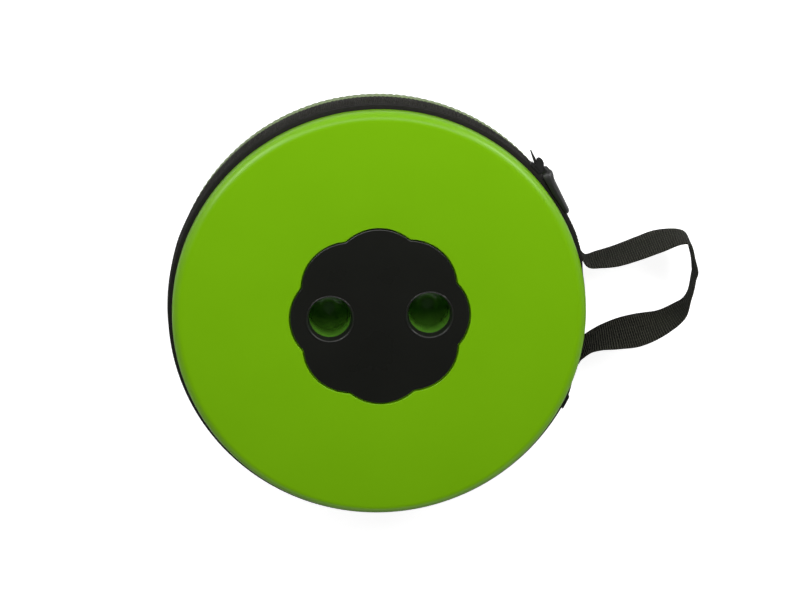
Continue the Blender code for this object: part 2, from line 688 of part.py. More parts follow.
def finger_cups(finish):
    """Two blind cups that hang in the hub, held down by the pull plate."""
    floor_inner = CUP_INNER - CUP_DRAFT
    profile = [
        (CUP_INNER, 0.0), (floor_inner, CUP_FILLET - CUP_DEPTH),
        (floor_inner - CUP_FILLET, -CUP_DEPTH), (0.0, -CUP_DEPTH),
    ]
    outside = [
        (0.0, -CUP_DEPTH - CUP_WALL), (floor_inner - CUP_FILLET, -CUP_DEPTH - CUP_WALL),
        (floor_inner + CUP_WALL, CUP_FILLET - CUP_DEPTH), (CUP_OUTER, -CUP_FLANGE),
        (CUP_FLANGE_RADIUS, -CUP_FLANGE), (CUP_FLANGE_RADIUS, 0.0), (CUP_INNER, 0.0),
    ]
    section = outside[:-1] + profile
    for side, centre in finger_centres().items():
        cup = turned_object(f"finger_cup_{side}", section, CUP_COLUMNS, finish)
        cup.location = (*centre, CUP_TOP - SEAT_GAP)


def screw(name, place, head_top, head_radius, reach, finish):
    """A pan-head screw driven upwards, its origin under the head."""
    dome = SCREW_HEAD_HEIGHT * 0.4
    profile = [
        (0.0, -SCREW_HEAD_HEIGHT), (head_radius - dome, -SCREW_HEAD_HEIGHT),
        (head_radius, dome - SCREW_HEAD_HEIGHT), (head_radius, 0.0), (SCREW_RADIUS, 0.0),
        (SCREW_RADIUS, reach), (0.0, reach),
    ]
    made = turned_object(name, profile, SCREW_COLUMNS, finish)
    made.location = (*place, head_top)
    return made


def screws(finish):
    """Four screws through the flange and two into the pull plate's bosses."""
    flange_seat = FLANGE_TOP - FLANGE_THICKNESS - SEAT_GAP
    for number, place in enumerate(flange_screw_places(), start=1):
        screw(f"flange_screw_{number}", place, flange_seat, SCREW_HEAD_RADIUS,
              HUB_BOTTOM + SCREW_BITE - flange_seat, finish)
    plate_seat = HUB_BOTTOM - SEAT_GAP
    for number, place in enumerate(plate_screw_places(), start=1):
        screw(f"plate_screw_{number}", place, plate_seat, WASHER_HEAD_RADIUS,
              SCREW_BITE + SEAT_GAP, finish)


def zip_slider(axis, finish):
    """The slider: a plate outside the tapes, one inside, and a keel between them."""
    half = SLIDER_LENGTH / 2
    outside = ZIP_OUTER + SEAT_GAP
    inside = ZIP_INNER * math.cos(math.pi / WALL_COLUMNS) - SEAT_GAP
    low = LOWER_TAPE_BOTTOM + SEAT_GAP - ZIP_MIDDLE
    high = SKIRT_BOTTOM - SEAT_GAP - ZIP_MIDDLE
    keel = ZIP_GAP / 2 - SEAT_GAP
    bm = bmesh.new()
    add_box(bm, (outside, -half, low), (SLIDER_FACE, half, high))
    slider = finish_object("zip_slider", bm, finish, smooth=False)
    bm = bmesh.new()
    add_box(bm, (inside - SLIDER_PLATE / 2, -KEEL_WIDTH / 2, -keel),
            (outside + SLIDER_PLATE / 2, KEEL_WIDTH / 2, keel))
    boolean(slider, finish_object("slider_keel_tool", bm, smooth=False), "UNION")
    bm = bmesh.new()
    add_box(bm, (inside - SLIDER_PLATE, -half, low), (inside, half, high))
    boolean(slider, finish_object("slider_back_tool", bm, smooth=False), "UNION")
    boolean(slider, slider_crown(low, high), "UNION")
    boolean(slider, slider_tongue(), "UNION")
    slider.parent = axis
    return slider


def slider_crown(low, high):
    """Two ears with a bar between them, which the puller's knuckle turns on."""
    bm = bmesh.new()
    root = SLIDER_FACE - SLIDER_PLATE / 2
    tip = BAR_AXIS_RADIUS + BAR_RADIUS + SEAT_GAP
    wide = BAR_RADIUS + SEAT_GAP
    bar = [(0.0, low + EAR_THICKNESS / 2), (BAR_RADIUS, low + EAR_THICKNESS / 2),
           (BAR_RADIUS, high - EAR_THICKNESS / 2), (0.0, high - EAR_THICKNESS / 2)]
    add_box(bm, (root, -wide, low), (tip, wide, low + EAR_THICKNESS))
    add_box(bm, (root, -wide, high - EAR_THICKNESS), (tip, wide, high))
    ears = finish_object("slider_crown_tool", bm, smooth=False)
    bm = bmesh.new()
    add_turned(bm, bar, SCREW_COLUMNS, centre=(BAR_AXIS_RADIUS, 0.0))
    boolean(ears, finish_object("slider_bar_tool", bm, smooth=False), "UNION")
    return ears


def slider_tongue():
    """A thin pointed tongue that rises off the slider's back end."""
    root = SLIDER_FACE - TONGUE_THICKNESS / 2
    half = SLIDER_LENGTH / 2
    outline = [
        (root, half - TONGUE_HEIGHT), (root + TONGUE_THICKNESS, half - TONGUE_HEIGHT),
        (root + TONGUE_RISE + TONGUE_THICKNESS / 2, half + TONGUE_LENGTH),
        (root + TONGUE_RISE, half + TONGUE_LENGTH),
    ]
    bm = bmesh.new()
    heights = (-TONGUE_HEIGHT / 2, TONGUE_HEIGHT / 2)
    add_skin(bm, [[bm.verts.new((x, y, z)) for x, y in outline] for z in heights])
    return finish_object("slider_tongue_tool", bm, smooth=False)


def puller_tab(pivot, finish):
    """The metal link: a knuckle round the slider's bar and a flat tab."""
    half = (SKIRT_BOTTOM - LOWER_TAPE_BOTTOM) / 2 - EAR_THICKNESS - 2 * SEAT_GAP
    bore = BAR_RADIUS + SEAT_GAP
    profile = [(bore, -half), (KNUCKLE_RADIUS, -half), (KNUCKLE_RADIUS, half), (bore, half)]
    tab = turned_object("puller_tab", profile, SCREW_COLUMNS, finish)
    bm = bmesh.new()
    add_box(bm, (KNUCKLE_RADIUS - KNUCKLE_WALL / 2, -TAB_THICKNESS / 2, -half * 0.8),
            (TAB_LENGTH, TAB_THICKNESS / 2, half * 0.8))
    boolean(tab, finish_object("tab_plate_tool", bm, smooth=False), "UNION")
    tab.parent = pivot
    return half * 0.8


def puller_grip(pivot, tab_half, finish):
    """The moulded grip, widest near its middle, with a slot for the metal tab."""
    stations = (
        (GRIP_START, GRIP_ROOT_WIDTH, GRIP_ROOT_DEPTH),
        (GRIP_MIDDLE, GRIP_MID_WIDTH, GRIP_MID_DEPTH),
        (GRIP_END, GRIP_TIP_WIDTH, GRIP_TIP_DEPTH),
    )
    bm = bmesh.new()
    slices = []
    for along, width, depth in stations:
        slices.append([bm.verts.new((along, y * depth / 2, z * width / 2))
                       for y, z in eased_square()])
    add_skin(bm, slices)
    grip = finish_object("puller_grip", bm, finish)
    bm = bmesh.new()
    half = TAB_THICKNESS / 2 + SEAT_GAP
    add_box(bm, (GRIP_START - GRIP_ROOT_DEPTH, -half, -tab_half - SEAT_GAP),
            (TAB_LENGTH + SEAT_GAP, half, tab_half + SEAT_GAP))
    boolean(grip, finish_object("grip_slot_tool", bm, smooth=False), "DIFFERENCE")
    grip.parent = pivot


def eased_square():
    """A square two units wide with its corners cut."""
    cut = 0.7
    return ((1, -cut), (1, cut), (cut, 1), (-cut, 1), (-1, cut), (-1, -cut), (-cut, -1), (cut, -1))


def zip_hardware(slider_finish, grip_finish):
    """The slider on its round track and the puller on the slider's bar."""
    track = empty("zip_track_axis", (0.0, 0.0, ZIP_MIDDLE), PARK_ANGLE)
    zip_slider(track, slider_finish)
    turn = -math.pi / 2 - PULLER_LEAN
    pivot = empty("puller_axis", (BAR_AXIS_RADIUS, 0.0, 0.0), turn, parent=track)
    tab_half = puller_tab(pivot, slider_finish)
    puller_grip(pivot, tab_half, grip_finish)


def smooth_route(points, steps):
    """Points on a smooth curve through the route's own points."""
    route = []
    last = len(points) - 1
    for index in range(last):
        before = points[max(index - 1, 0)]
        start = points[index]
        end = points[index + 1]
        after = points[min(index + 2, last)]
        for step in range(steps):
            t = step / steps
            route.append(0.5 * (2 * start + (end - before) * t
                                + (2 * before - 5 * start + 4 * end - after) * t ** 2
                                + (3 * start - before - 3 * end + after) * t ** 3))
    route.append(points[last])
    return route


def handle_loop(finish):
    """The webbing loop: a flat band whose width leans as it goes round."""
    controls = []
    for out, across, lean in LOOP_ROUTE:
        wall = math.sqrt(TAIL_MIDDLE ** 2 - (across * MM) ** 2)
        controls.append(Vector((wall + out * MM, across * MM, math.radians(lean))))
    route = smooth_route(controls, STRAP_STEPS)
    bm = bmesh.new()
    slices = []
    for index, point in enumerate(route):
        before = route[max(index - 1, 0)]
        after = route[min(index + 1, len(route) - 1)]
        along = Vector((after.x - before.x, after.y - before.y, 0.0)).normalized()
        width = Vector((0.0, -math.sin(point.z), math.cos(point.z)))
        width = (width - along * width.dot(along)).normalized() * STRAP_WIDTH / 2
        face = along.cross(width).normalized() * STRAP_THICKNESS / 2
        centre = Vector((point.x, point.y, STRAP_MIDDLE))
        corners = (width + face, width - face, -width - face, -width + face)
        slices.append([bm.verts.new(centre + corner) for corner in corners])
    add_skin(bm, slices)
    finish_object("handle_loop", bm, finish)


def handle_tails(finish):
    """The loop's two ends, sewn flat on the wall."""
    low = STRAP_MIDDLE - STRAP_WIDTH / 2
    high = STRAP_MIDDLE + STRAP_WIDTH / 2
    spans = {
        "handle_tail_upper": (UPPER_ROOT, UPPER_ROOT + UPPER_TAIL_ARC),
        "handle_tail_lower": (LOWER_ROOT - LOWER_TAIL_ARC, LOWER_ROOT),
    }
    for name, (start, end) in spans.items():
        bm = bmesh.new()
        add_arc_block(bm, TAIL_INNER, TAIL_OUTER, low, high, start, end, TAIL_STEPS)
        finish_object(name, bm, finish)


def build():
    """Model the whole stool."""
    clear_scene()
    moulded_green = material("moulded_green", GREEN, 0.38)
    cup_green = material("cup_green", DARK_GREEN, 0.2)
    moulded_black = material("moulded_black", BLACK, 0.35)
    stack_black = material("stack_black", CHARCOAL, 0.45)
    webbing = material("webbing", WEBBING, 0.85)
    zip_black = material("zip_black", CHARCOAL, 0.4)
    rubber = material("rubber", GREY_RUBBER, 0.8)
    steel = material("steel", STEEL, 0.3, metallic=1.0)

    base_shell(moulded_green)
    feet(rubber)
    fabric_wall(webbing)
    grip_ring(moulded_green)
    zip_tapes(webbing)
    zip_ends(zip_black)
    handle_tails(webbing)
    handle_loop(webbing)
    for number in range(1, RING_COUNT + 1):
        telescoping_ring(number, stack_black if number % 2 else moulded_green)
    seat_tube(stack_black)
    seat_shell(moulded_green)
    seat_hub(moulded_green)
    centre_plate(moulded_black)
    finger_cups(cup_green)
    screws(steel)
    zip_hardware(zip_black, moulded_black)


build()
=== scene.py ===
# %% [markdown]
# # A telescoping camping stool, folded flat
# The stool is a round puck: a green lid that is also the seat, a dark fabric wall with a
# zip, a base, and ten thin rings nested between them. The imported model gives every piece
# its place and its moving body. The model's own solids could be painted as they are, but
# they have plain edges and few faces. This script draws each piece again with fine meshes
# and materials, one short cell at a time.

# %% Load the frame
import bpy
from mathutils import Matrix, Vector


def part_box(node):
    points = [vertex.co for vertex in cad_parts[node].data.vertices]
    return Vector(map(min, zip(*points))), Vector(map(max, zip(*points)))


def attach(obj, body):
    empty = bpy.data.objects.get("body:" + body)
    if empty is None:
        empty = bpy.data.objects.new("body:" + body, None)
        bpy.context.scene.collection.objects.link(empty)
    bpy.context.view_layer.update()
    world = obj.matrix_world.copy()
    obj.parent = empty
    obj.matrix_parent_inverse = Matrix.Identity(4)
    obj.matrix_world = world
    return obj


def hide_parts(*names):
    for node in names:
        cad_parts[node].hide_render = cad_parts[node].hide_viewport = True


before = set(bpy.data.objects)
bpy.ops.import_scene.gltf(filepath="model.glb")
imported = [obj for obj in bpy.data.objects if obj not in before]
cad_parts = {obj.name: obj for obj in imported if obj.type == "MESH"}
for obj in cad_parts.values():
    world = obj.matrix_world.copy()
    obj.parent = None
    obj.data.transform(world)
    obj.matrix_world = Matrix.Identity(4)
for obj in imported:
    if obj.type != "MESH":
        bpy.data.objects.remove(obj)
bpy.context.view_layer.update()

# %% Modules and units
import math

import bmesh
import bpy
from mathutils import Matrix, Vector, noise

MM = 0.001


def in_mm(box):
    """A box's two corners in millimetres."""
    return [[value / MM for value in corner] for corner in box]


# %% [markdown]
# ## The camera
# The picture looks almost straight down, 14.5 degrees off the vertical, from the side
# where the fabric wall shows. A long lens from nearly two metres keeps the circle round.
# A constraint could aim the camera at the stool. Its matrix is written out instead, from
# three directions, right, up and back, because that sets the roll of the picture as well.

# %% Place the camera
CAMERA_PLACE = Vector((-57.77, 480.54, 1882.72)) * MM
CAMERA_RIGHT = Vector((0.9984, -0.0321, 0.0467)).normalized()
CAMERA_FORWARD = Vector((0.0372, -0.2508, -0.9673)).normalized()
CAMERA_UP = CAMERA_RIGHT.cross(CAMERA_FORWARD).normalized()
LENS_LENGTH = 141.1
SENSOR_WIDTH = 36.0


def place_object(name, data):
    """An object with this data, linked into the scene."""
    made = bpy.data.objects.new(name, data)
    bpy.context.collection.objects.link(made)
    return made


def add_camera():
    """A camera whose own X, Y and Z are right, up and back."""
    data = bpy.data.cameras.new("studio_camera")
    data.lens, data.sensor_width = LENS_LENGTH, SENSOR_WIDTH
    data.clip_start, data.clip_end = 0.05, 20.0
    camera = place_object("studio_camera", data)
    facing = Matrix((CAMERA_RIGHT, CAMERA_UP, -CAMERA_FORWARD)).transposed().to_4x4()
    camera.matrix_world = Matrix.Translation(CAMERA_PLACE) @ facing
    bpy.context.scene.camera = camera
    return camera


print("camera at", [round(v, 3) for v in add_camera().location])

# %% [markdown]
# ## Light
# The picture has soft light from its top edge, stronger at the two upper corners, where
# the lid's rounded edge carries a pale streak. Two soft boxes stand there, close enough
# for the light to fall off down the picture, and a wide one hangs between them. A low
# and wide one fills the near side. Two lower strips are seen only in reflections. They
# lay the streaks on the rounded edge, while the two corner boxes stay out of the gloss. Point
# lamps or a sun would be simpler, but an area lamp's size sets how soft a shadow is, and its
# shape is what the plastic mirrors.

# %% Soft boxes
LIGHTS = {
    # name: (place, width and height, watts, aim, seen by)
    "upper_right_box": ((0.59, 0.5, 0.68), (0.5, 0.28), 5.9, (0.04, 0.0, 0.03), "matt"),
    "upper_left_box": ((-0.63, 0.53, 0.68), (0.5, 0.28), 4.1, (-0.04, 0.0, 0.03), "matt"),
    "top_box": ((0.0, 0.57, 0.72), (0.9, 0.35), 3.4, (0.0, 0.02, 0.03), "both"),
    "low_fill_box": ((0.1, -1.6, 0.45), (2.4, 0.7), 4.6, (0.0, 0.0, 0.03), "both"),
    "right_streak": ((0.81, 0.66, 0.42), (0.5, 0.3), 4.3, (0.08, 0.08, 0.05), "gloss"),
    "left_streak": ((-0.71, 0.71, 0.48), (0.5, 0.3), 3.8, (-0.08, 0.08, 0.05), "gloss"),
}


def add_soft_box(name, place, size, watts, aim, seen_by):
    """A rectangular lamp that faces its aim and lights matt surfaces, gloss or both."""
    data = bpy.data.lights.new(name, "AREA")
    data.shape = "RECTANGLE"
    data.size, data.size_y = size
    data.energy = watts
    lamp = place_object(name, data)
    lamp.location = place
    lamp.rotation_euler = (Vector(aim) - Vector(place)).to_track_quat("-Z", "Y").to_euler()
    lamp.visible_glossy = seen_by != "matt"
    lamp.visible_diffuse = seen_by != "gloss"


for lamp_name, settings in LIGHTS.items():
    add_soft_box(lamp_name, *settings)
print(len(LIGHTS), "soft boxes")

# %% [markdown]
# ## World and floor
# The backdrop is plain white to the camera, through Light Path, while the light that falls
# on the stool comes from a soft grey dome. The floor is a pale sheet with a little glow for
# the camera only, so it reads as white but keeps a faint shadow. A picture of a studio
# could light the stool too, but a few nodes need no file. Node trees come often from here
# on, so a helper makes each node together with the values and earlier outputs that feed it.

# %% Node helpers


def feed(node, feeds):
    """Give a node's inputs their values, or join other nodes' outputs to them."""
    for key, source in feeds.items():
        if isinstance(source, bpy.types.NodeSocket):
            node.id_data.links.new(source, node.inputs[key])
        else:
            node.inputs[key].default_value = source


def add_node(tree, kind, feeds=None, **properties):
    """Make a node and feed it. What comes back is its outputs, by name or number."""
    node = tree.nodes.new(kind)
    for name, value in properties.items():
        setattr(node, name, value)
    feed(node, feeds or {})
    return node.outputs


def maths(tree, operation, *terms):
    """The result of a Math node."""
    return add_node(tree, "ShaderNodeMath", dict(enumerate(terms)), operation=operation)["Value"]


def map_range(tree, value, source, target=(0.0, 1.0)):
    """A value carried from one range to another."""
    return add_node(tree, "ShaderNodeMapRange", {
        "Value": value, "From Min": source[0], "From Max": source[1],
        "To Min": target[0], "To Max": target[1]})["Result"]


def bare_tree(owner):
    """The node tree of a world or a material, with nothing in it."""
    owner.use_nodes = True
    owner.node_tree.nodes.clear()
    return owner.node_tree


print("node helpers ready")

# %% The dome
HORIZON_LEVEL = 0.44
ZENITH_LEVEL = 0.07
DOME_RISE = (0.1, 0.6)
WHITE = (1.0, 1.0, 1.0, 1.0)
scene = bpy.context.scene
scene.view_settings.view_transform = "Standard"

# Bright at the horizon, dim above, and white to the camera
world = bpy.data.worlds.new("studio_dome")
tree = bare_tree(world)
place = add_node(tree, "ShaderNodeTexCoord")
split = add_node(tree, "ShaderNodeSeparateXYZ", {"Vector": place["Generated"]})
level = map_range(tree, split["Z"], DOME_RISE, (HORIZON_LEVEL, ZENITH_LEVEL))
dome = add_node(tree, "ShaderNodeBackground", {"Strength": level})
backdrop = add_node(tree, "ShaderNodeBackground", {"Color": WHITE, "Strength": 1.0})
path = add_node(tree, "ShaderNodeLightPath")
mix = add_node(tree, "ShaderNodeMixShader", {
    "Fac": path["Is Camera Ray"], 1: dome["Background"], 2: backdrop["Background"]})
add_node(tree, "ShaderNodeOutputWorld", {"Surface": mix["Shader"]})
scene.world = world
print("dome from", HORIZON_LEVEL, "at the horizon to", ZENITH_LEVEL, "overhead")

# %% The floor
FLOOR_HALF = 4.0
FLOOR_DROP = 0.2 * MM
FLOOR_GREY = (0.6, 0.6, 0.6, 1.0)
FLOOR_GLOW = 0.88

# A pale sheet under the stool, staged so that it isn't part of the object
mesh = bpy.data.meshes.new("studio_floor")
mesh.from_pydata([(x * FLOOR_HALF, y * FLOOR_HALF, 0)
                  for x, y in ((-1, -1), (1, -1), (1, 1), (-1, 1))], [], [(0, 1, 2, 3)])
floor = place_object("studio_floor", mesh)
floor.location.z = -FLOOR_DROP
paint = bpy.data.materials.new("pale_floor")
tree = bare_tree(paint)
path = add_node(tree, "ShaderNodeLightPath")
level = maths(tree, "MULTIPLY", path["Is Camera Ray"], FLOOR_GLOW)
matt = add_node(tree, "ShaderNodeBsdfDiffuse", {"Color": FLOOR_GREY})
glow = add_node(tree, "ShaderNodeEmission", {"Strength": level})
both = add_node(tree, "ShaderNodeAddShader", {0: matt["BSDF"], 1: glow["Emission"]})
add_node(tree, "ShaderNodeOutputMaterial", {"Surface": both["Shader"]})
mesh.materials.append(paint)
print("floor is", FLOOR_HALF * 2, "metres square")

# %% [markdown]
# ## Sizes
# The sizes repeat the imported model's own, so each fine piece lies exactly where its solid
# does. Where a node's box gives a size, it is read from the box and only then named. The
# numbers could stand where they are used, but a named size is changed in one place. From
# here on shapes are drawn in millimetres, and finishing a piece scales it to metres.

# %% Heights and radii
seat_low, seat_high = in_mm(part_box("seat_shell"))
plate_low, plate_high = in_mm(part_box("centre_plate"))
wall_low, wall_high = in_mm(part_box("fabric_wall"))
grip_low, grip_high = in_mm(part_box("base_grip_ring"))
SEAT_RADIUS = 125.0
SEAT_TOP = seat_high[2]
SKIRT_BOTTOM = seat_low[2]
POCKET_FLOOR = SEAT_TOP - 2.8
HUB_BOTTOM = POCKET_FLOOR - 3.0
HUB_RADIUS = 65.0
RIM_TOP = plate_high[2]
PLATE_TOP = RIM_TOP - 0.4
PLATE_BOTTOM = PLATE_TOP - 2.0
WALL_BOTTOM = wall_low[2]
WALL_TOP = wall_high[2]
ZIP_LOW = WALL_TOP + 2.2
ZIP_HIGH = ZIP_LOW + 1.6
ZIP_MIDDLE = (ZIP_LOW + ZIP_HIGH) / 2
TAPE_GAP = 0.3
TAPE_THICKNESS = 1.9
RING_BOTTOM = in_mm(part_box("ring_1"))[0][2]
print("seat top at", round(SEAT_TOP, 2), "mm and zip at", round(ZIP_MIDDLE, 2), "mm")

# %% [markdown]
# ## Mesh helpers
# Nearly every moulded piece here is turned about an upright axis. One helper rounds the
# corners of an outline, and another carries the outline round. A Screw modifier could do
# that for a plain outline. Here the outline may change with the angle, which makes the
# lobed plate, its pocket and the notched lips without a cut. A third helper skins a row of
# outlines, for blocks, plates and bands.

# %% Round the corners of an outline


def eased(corners, steps=5):
    """Outline through (radius, height, rounding) corners, with an arc at each rounded one."""
    outline = []
    count = len(corners)
    for index, (x, z, rounding) in enumerate(corners):
        here = Vector((x, z))
        if rounding == 0:
            outline.append((x, z))
            continue
        before = (Vector(corners[index - 1][:2]) - here).normalized()
        after = (Vector(corners[(index + 1) % count][:2]) - here).normalized()
        bend = before.angle(after)
        centre = here + (before + after).normalized() * rounding / math.sin(bend / 2)
        reach = rounding / math.tan(bend / 2)
        start = here + before * reach - centre
        end = here + after * reach - centre
        sweep = math.pi - bend
        for step in range(steps + 1):
            t = step / steps
            point = start * math.sin((1 - t) * sweep) + end * math.sin(t * sweep)
            point = centre + point / math.sin(sweep)
            outline.append((point.x, point.y))
    return outline


print("one eased corner has", len(eased([(0, 0, 0), (2, 0, 0.5), (2, 2, 0)])) - 2, "points")

# %% Turn an outline about an axis


def even_angles(count):
    """Equal steps round the circle."""
    return [math.tau * step / count for step in range(count)]


def turn(bm, outline, angles, centre=(0.0, 0.0)):
    """Carry an outline, or a function that gives one at an angle, round an upright axis.

    The angles are a list or the number of even ones. An outline that starts and ends on
    the axis makes a solid.
    """
    if isinstance(angles, int):
        angles = even_angles(angles)
    poles = {}
    grid = []
    for angle in angles:
        line = []
        for index, (r, z) in enumerate(outline(angle) if callable(outline) else outline):
            if index not in poles:
                vert = bm.verts.new((centre[0] + r * math.cos(angle),
                                     centre[1] + r * math.sin(angle), z))
                if r == 0.0:
                    poles[index] = vert
            line.append(poles.get(index, vert))
        grid.append(line)
    size = len(grid[0])
    for near, far in zip(grid, grid[1:] + grid[:1]):
        for k in range(size - 1 if 0 in poles else size):
            n = (k + 1) % size
            bm.faces.new(list(dict.fromkeys((near[k], far[k], far[n], near[n]))))


def loft(bm, rows):
    """Skin rows of points, each a closed outline, and close both ends."""
    made = [[bm.verts.new(point) for point in row] for row in rows]
    size = len(made[0])
    for near, far in zip(made, made[1:]):
        for k in range(size):
            n = (k + 1) % size
            bm.faces.new((near[k], far[k], far[n], near[n]))
    bm.faces.new(made[0])
    bm.faces.new(list(reversed(made[-1])))
    return made


def add_block(bm, low, high):
    """A box between two corners."""
    (y0, z0), (y1, z1) = low[1:], high[1:]
    loft(bm, [[(x, y0, z0), (x, y1, z0), (x, y1, z1), (x, y0, z1)] for x in (low[0], high[0])])


def soften(bm, offset, segments=2, bend=30):
    """Round every edge that bends by more than some degrees."""
    bmesh.ops.recalc_face_normals(bm, faces=bm.faces)
    sharp = [e for e in bm.edges if e.calc_face_angle(0) > math.radians(bend)]
    bmesh.ops.bevel(bm, geom=sharp, offset=offset, segments=segments, affect="EDGES")


def bent_block(section, first, last, segments, steps=6):
    """A block bent about the stool's axis between two angles in degrees."""
    rows = []
    for step in range(steps + 1):
        angle = math.radians(first + (last - first) * step / steps)
        rows.append([(r * math.cos(angle), r * math.sin(angle), z) for r, z in section])
    bm = bmesh.new()
    loft(bm, rows)
    soften(bm, 0.35, segments, bend=60)
    return bm


print("drawing helpers ready")

# %% [markdown]
# ## From a drawing to a piece
# A moulded piece on the real stool has smooth faces and a crisp line where two faces meet.
# Every drawing is finished the same way for this. Points that coincide are merged, faces
# are pointed outwards, and edges that bend enough are marked sharp. A modifier could mark
# them, but marks in the mesh itself stay with the mesh wherever it goes. Holes are cut with a
# Boolean modifier, which is turned into a plain mesh before the piece gets its moving body.

# %% Finish a piece
WELD = 0.002


def finish_piece(name, bm, finish, body, stands_for=(), slot=None, sharp=40):
    """Scale to metres, make the object, give it its finish, and let it ride on its body."""
    bmesh.ops.remove_doubles(bm, verts=bm.verts, dist=WELD)
    bmesh.ops.recalc_face_normals(bm, faces=bm.faces)
    bmesh.ops.scale(bm, vec=(MM, MM, MM), verts=bm.verts)
    mesh = bpy.data.meshes.new(name)
    bm.to_mesh(mesh)
    bm.free()
    mesh.shade_smooth()
    mesh.set_sharp_from_angle(angle=math.radians(sharp))
    piece = place_object(name, mesh)
    if finish:
        mesh.materials.append(finish)
    if body:
        dress(piece, body, stands_for, slot)
    return piece


def dress(piece, body, stands_for=(), slot=None):
    """Ride on a body and replace CAD nodes. The slot is not used."""
    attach(piece, body)
    if stands_for:
        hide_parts(*stands_for)


def turned_piece(name, outline, angles, *finishing, centre=(0.0, 0.0), band=False, **options):
    """A piece turned about an upright axis and finished. A band gets its UV in metres."""
    bm = bmesh.new()
    turn(bm, outline, angles, centre)
    if band:
        band_uv(bm)
    return finish_piece(name, bm, *finishing, **options)


def freeze(piece):
    """Turn a piece and its modifiers into a plain mesh."""
    graph = bpy.context.evaluated_depsgraph_get()
    mesh = bpy.data.meshes.new_from_object(piece.evaluated_get(graph), depsgraph=graph)
    piece.modifiers.clear()
    piece.data = mesh


def carve(piece, bm, sharp, crossed=False):
    """Cut what a bmesh holds out of a piece. Its blocks may cross one another."""
    tool = finish_piece(piece.name + "_cutter", bm, None, None)
    modifier = piece.modifiers.new("cut", "BOOLEAN")
    modifier.operation = "DIFFERENCE"
    modifier.solver = "EXACT"
    modifier.use_self = crossed
    modifier.object = tool
    freeze(piece)
    bpy.data.objects.remove(tool, do_unlink=True)
    piece.data.set_sharp_from_angle(angle=math.radians(sharp))


print("finishing helpers ready")

# %% [markdown]
# ## Copies round the axis
# Teeth, bumps, lugs and ribs all repeat at even angles about the stool's axis. An Array
# modifier could turn copies about an empty, but each row would need an empty of its own.
# One Geometry Nodes tree with named inputs serves them all. It takes a shape drawn at the
# angle zero and turns copies of it. It ends in Realize Instances and Set Material, so that
# a plain mesh comes out.

# %% Build the tree of turned copies


def new_tree(name, kind, inputs, outputs):
    """A node group, a node with what it is given, and its end."""
    tree = bpy.data.node_groups.new(name, kind)
    for label, socket, value in inputs:
        made = tree.interface.new_socket(label, in_out="INPUT", socket_type="NodeSocket" + socket)
        if value is not None:
            made.default_value = value
    for label, socket in outputs:
        tree.interface.new_socket(label, in_out="OUTPUT", socket_type="NodeSocket" + socket)
    return tree, add_node(tree, "NodeGroupInput"), tree.nodes.new("NodeGroupOutput")


def run_tree(piece, tree, values):
    """Run a tree on a piece with its named inputs set, and keep the plain mesh."""
    modifier = piece.modifiers.new(tree.name, "NODES")
    modifier.node_group = tree
    for socket in tree.interface.items_tree:
        if socket.name in values:
            modifier[socket.identifier] = values[socket.name]
    freeze(piece)


def made_real(tree, copies, finish, smooth=False):
    """Instances turned into a plain mesh with a finish."""
    mesh = add_node(tree, "GeometryNodeRealizeInstances", {"Geometry": copies})["Geometry"]
    if smooth:
        mesh = add_node(tree, "GeometryNodeSetShadeSmooth", {"Geometry": mesh})["Geometry"]
    return add_node(tree, "GeometryNodeSetMaterial",
                    {"Geometry": mesh, "Material": finish})["Geometry"]


def turned_copies_tree():
    """Copies of a shape, evenly turned about Z from a first angle."""
    tree, given, end = new_tree("turned copies", "GeometryNodeTree", [
        ("Shape", "Geometry", None), ("Copies", "Int", 6), ("First angle", "Float", 0.0),
        ("Angle between", "Float", 1.0), ("Finish", "Material", None),
    ], [("Pattern", "Geometry")])
    points = add_node(tree, "GeometryNodePoints", {"Count": given["Copies"]})
    index = add_node(tree, "GeometryNodeInputIndex")
    angle = maths(tree, "MULTIPLY_ADD", index["Index"], given["Angle between"],
                  given["First angle"])
    upright = add_node(tree, "ShaderNodeCombineXYZ", {"Z": angle})
    rotation = add_node(tree, "FunctionNodeEulerToRotation", {"Euler": upright["Vector"]})
    copies = add_node(tree, "GeometryNodeInstanceOnPoints", {
        "Points": points[0], "Instance": given["Shape"], "Rotation": rotation["Rotation"]})
    feed(end, {"Pattern": made_real(tree, copies["Instances"], given["Finish"])})
    return tree


def turned_copies(name, bm, finish, body, count, first, between, sharp=40, **options):
    """Repeat the shape in a bmesh round the axis and leave a plain mesh."""
    piece = finish_piece(name, bm, None, None, sharp=sharp)
    run_tree(piece, COPIES_TREE, {"Copies": count, "First angle": first,
                                  "Angle between": between, "Finish": finish})
    dress(piece, body, **options)
    return piece


COPIES_TREE = turned_copies_tree()
print("turned copies:", len(COPIES_TREE.nodes), "nodes")

# %% [markdown]
# ## Stitches along a seam
# The wall's hem and the strap's two ends are sewn. A seam is a row of short threads that
# follow a line. They could be a bump in the cloth, but real threads stand out at the edge
# and catch the light. A second tree reads a drawn line, walks it in even steps and lays a
# small oval thread along it at each step.

# %% Build the tree of stitches
STITCH_PITCH = 2.6
THREAD_SHARE = 0.72


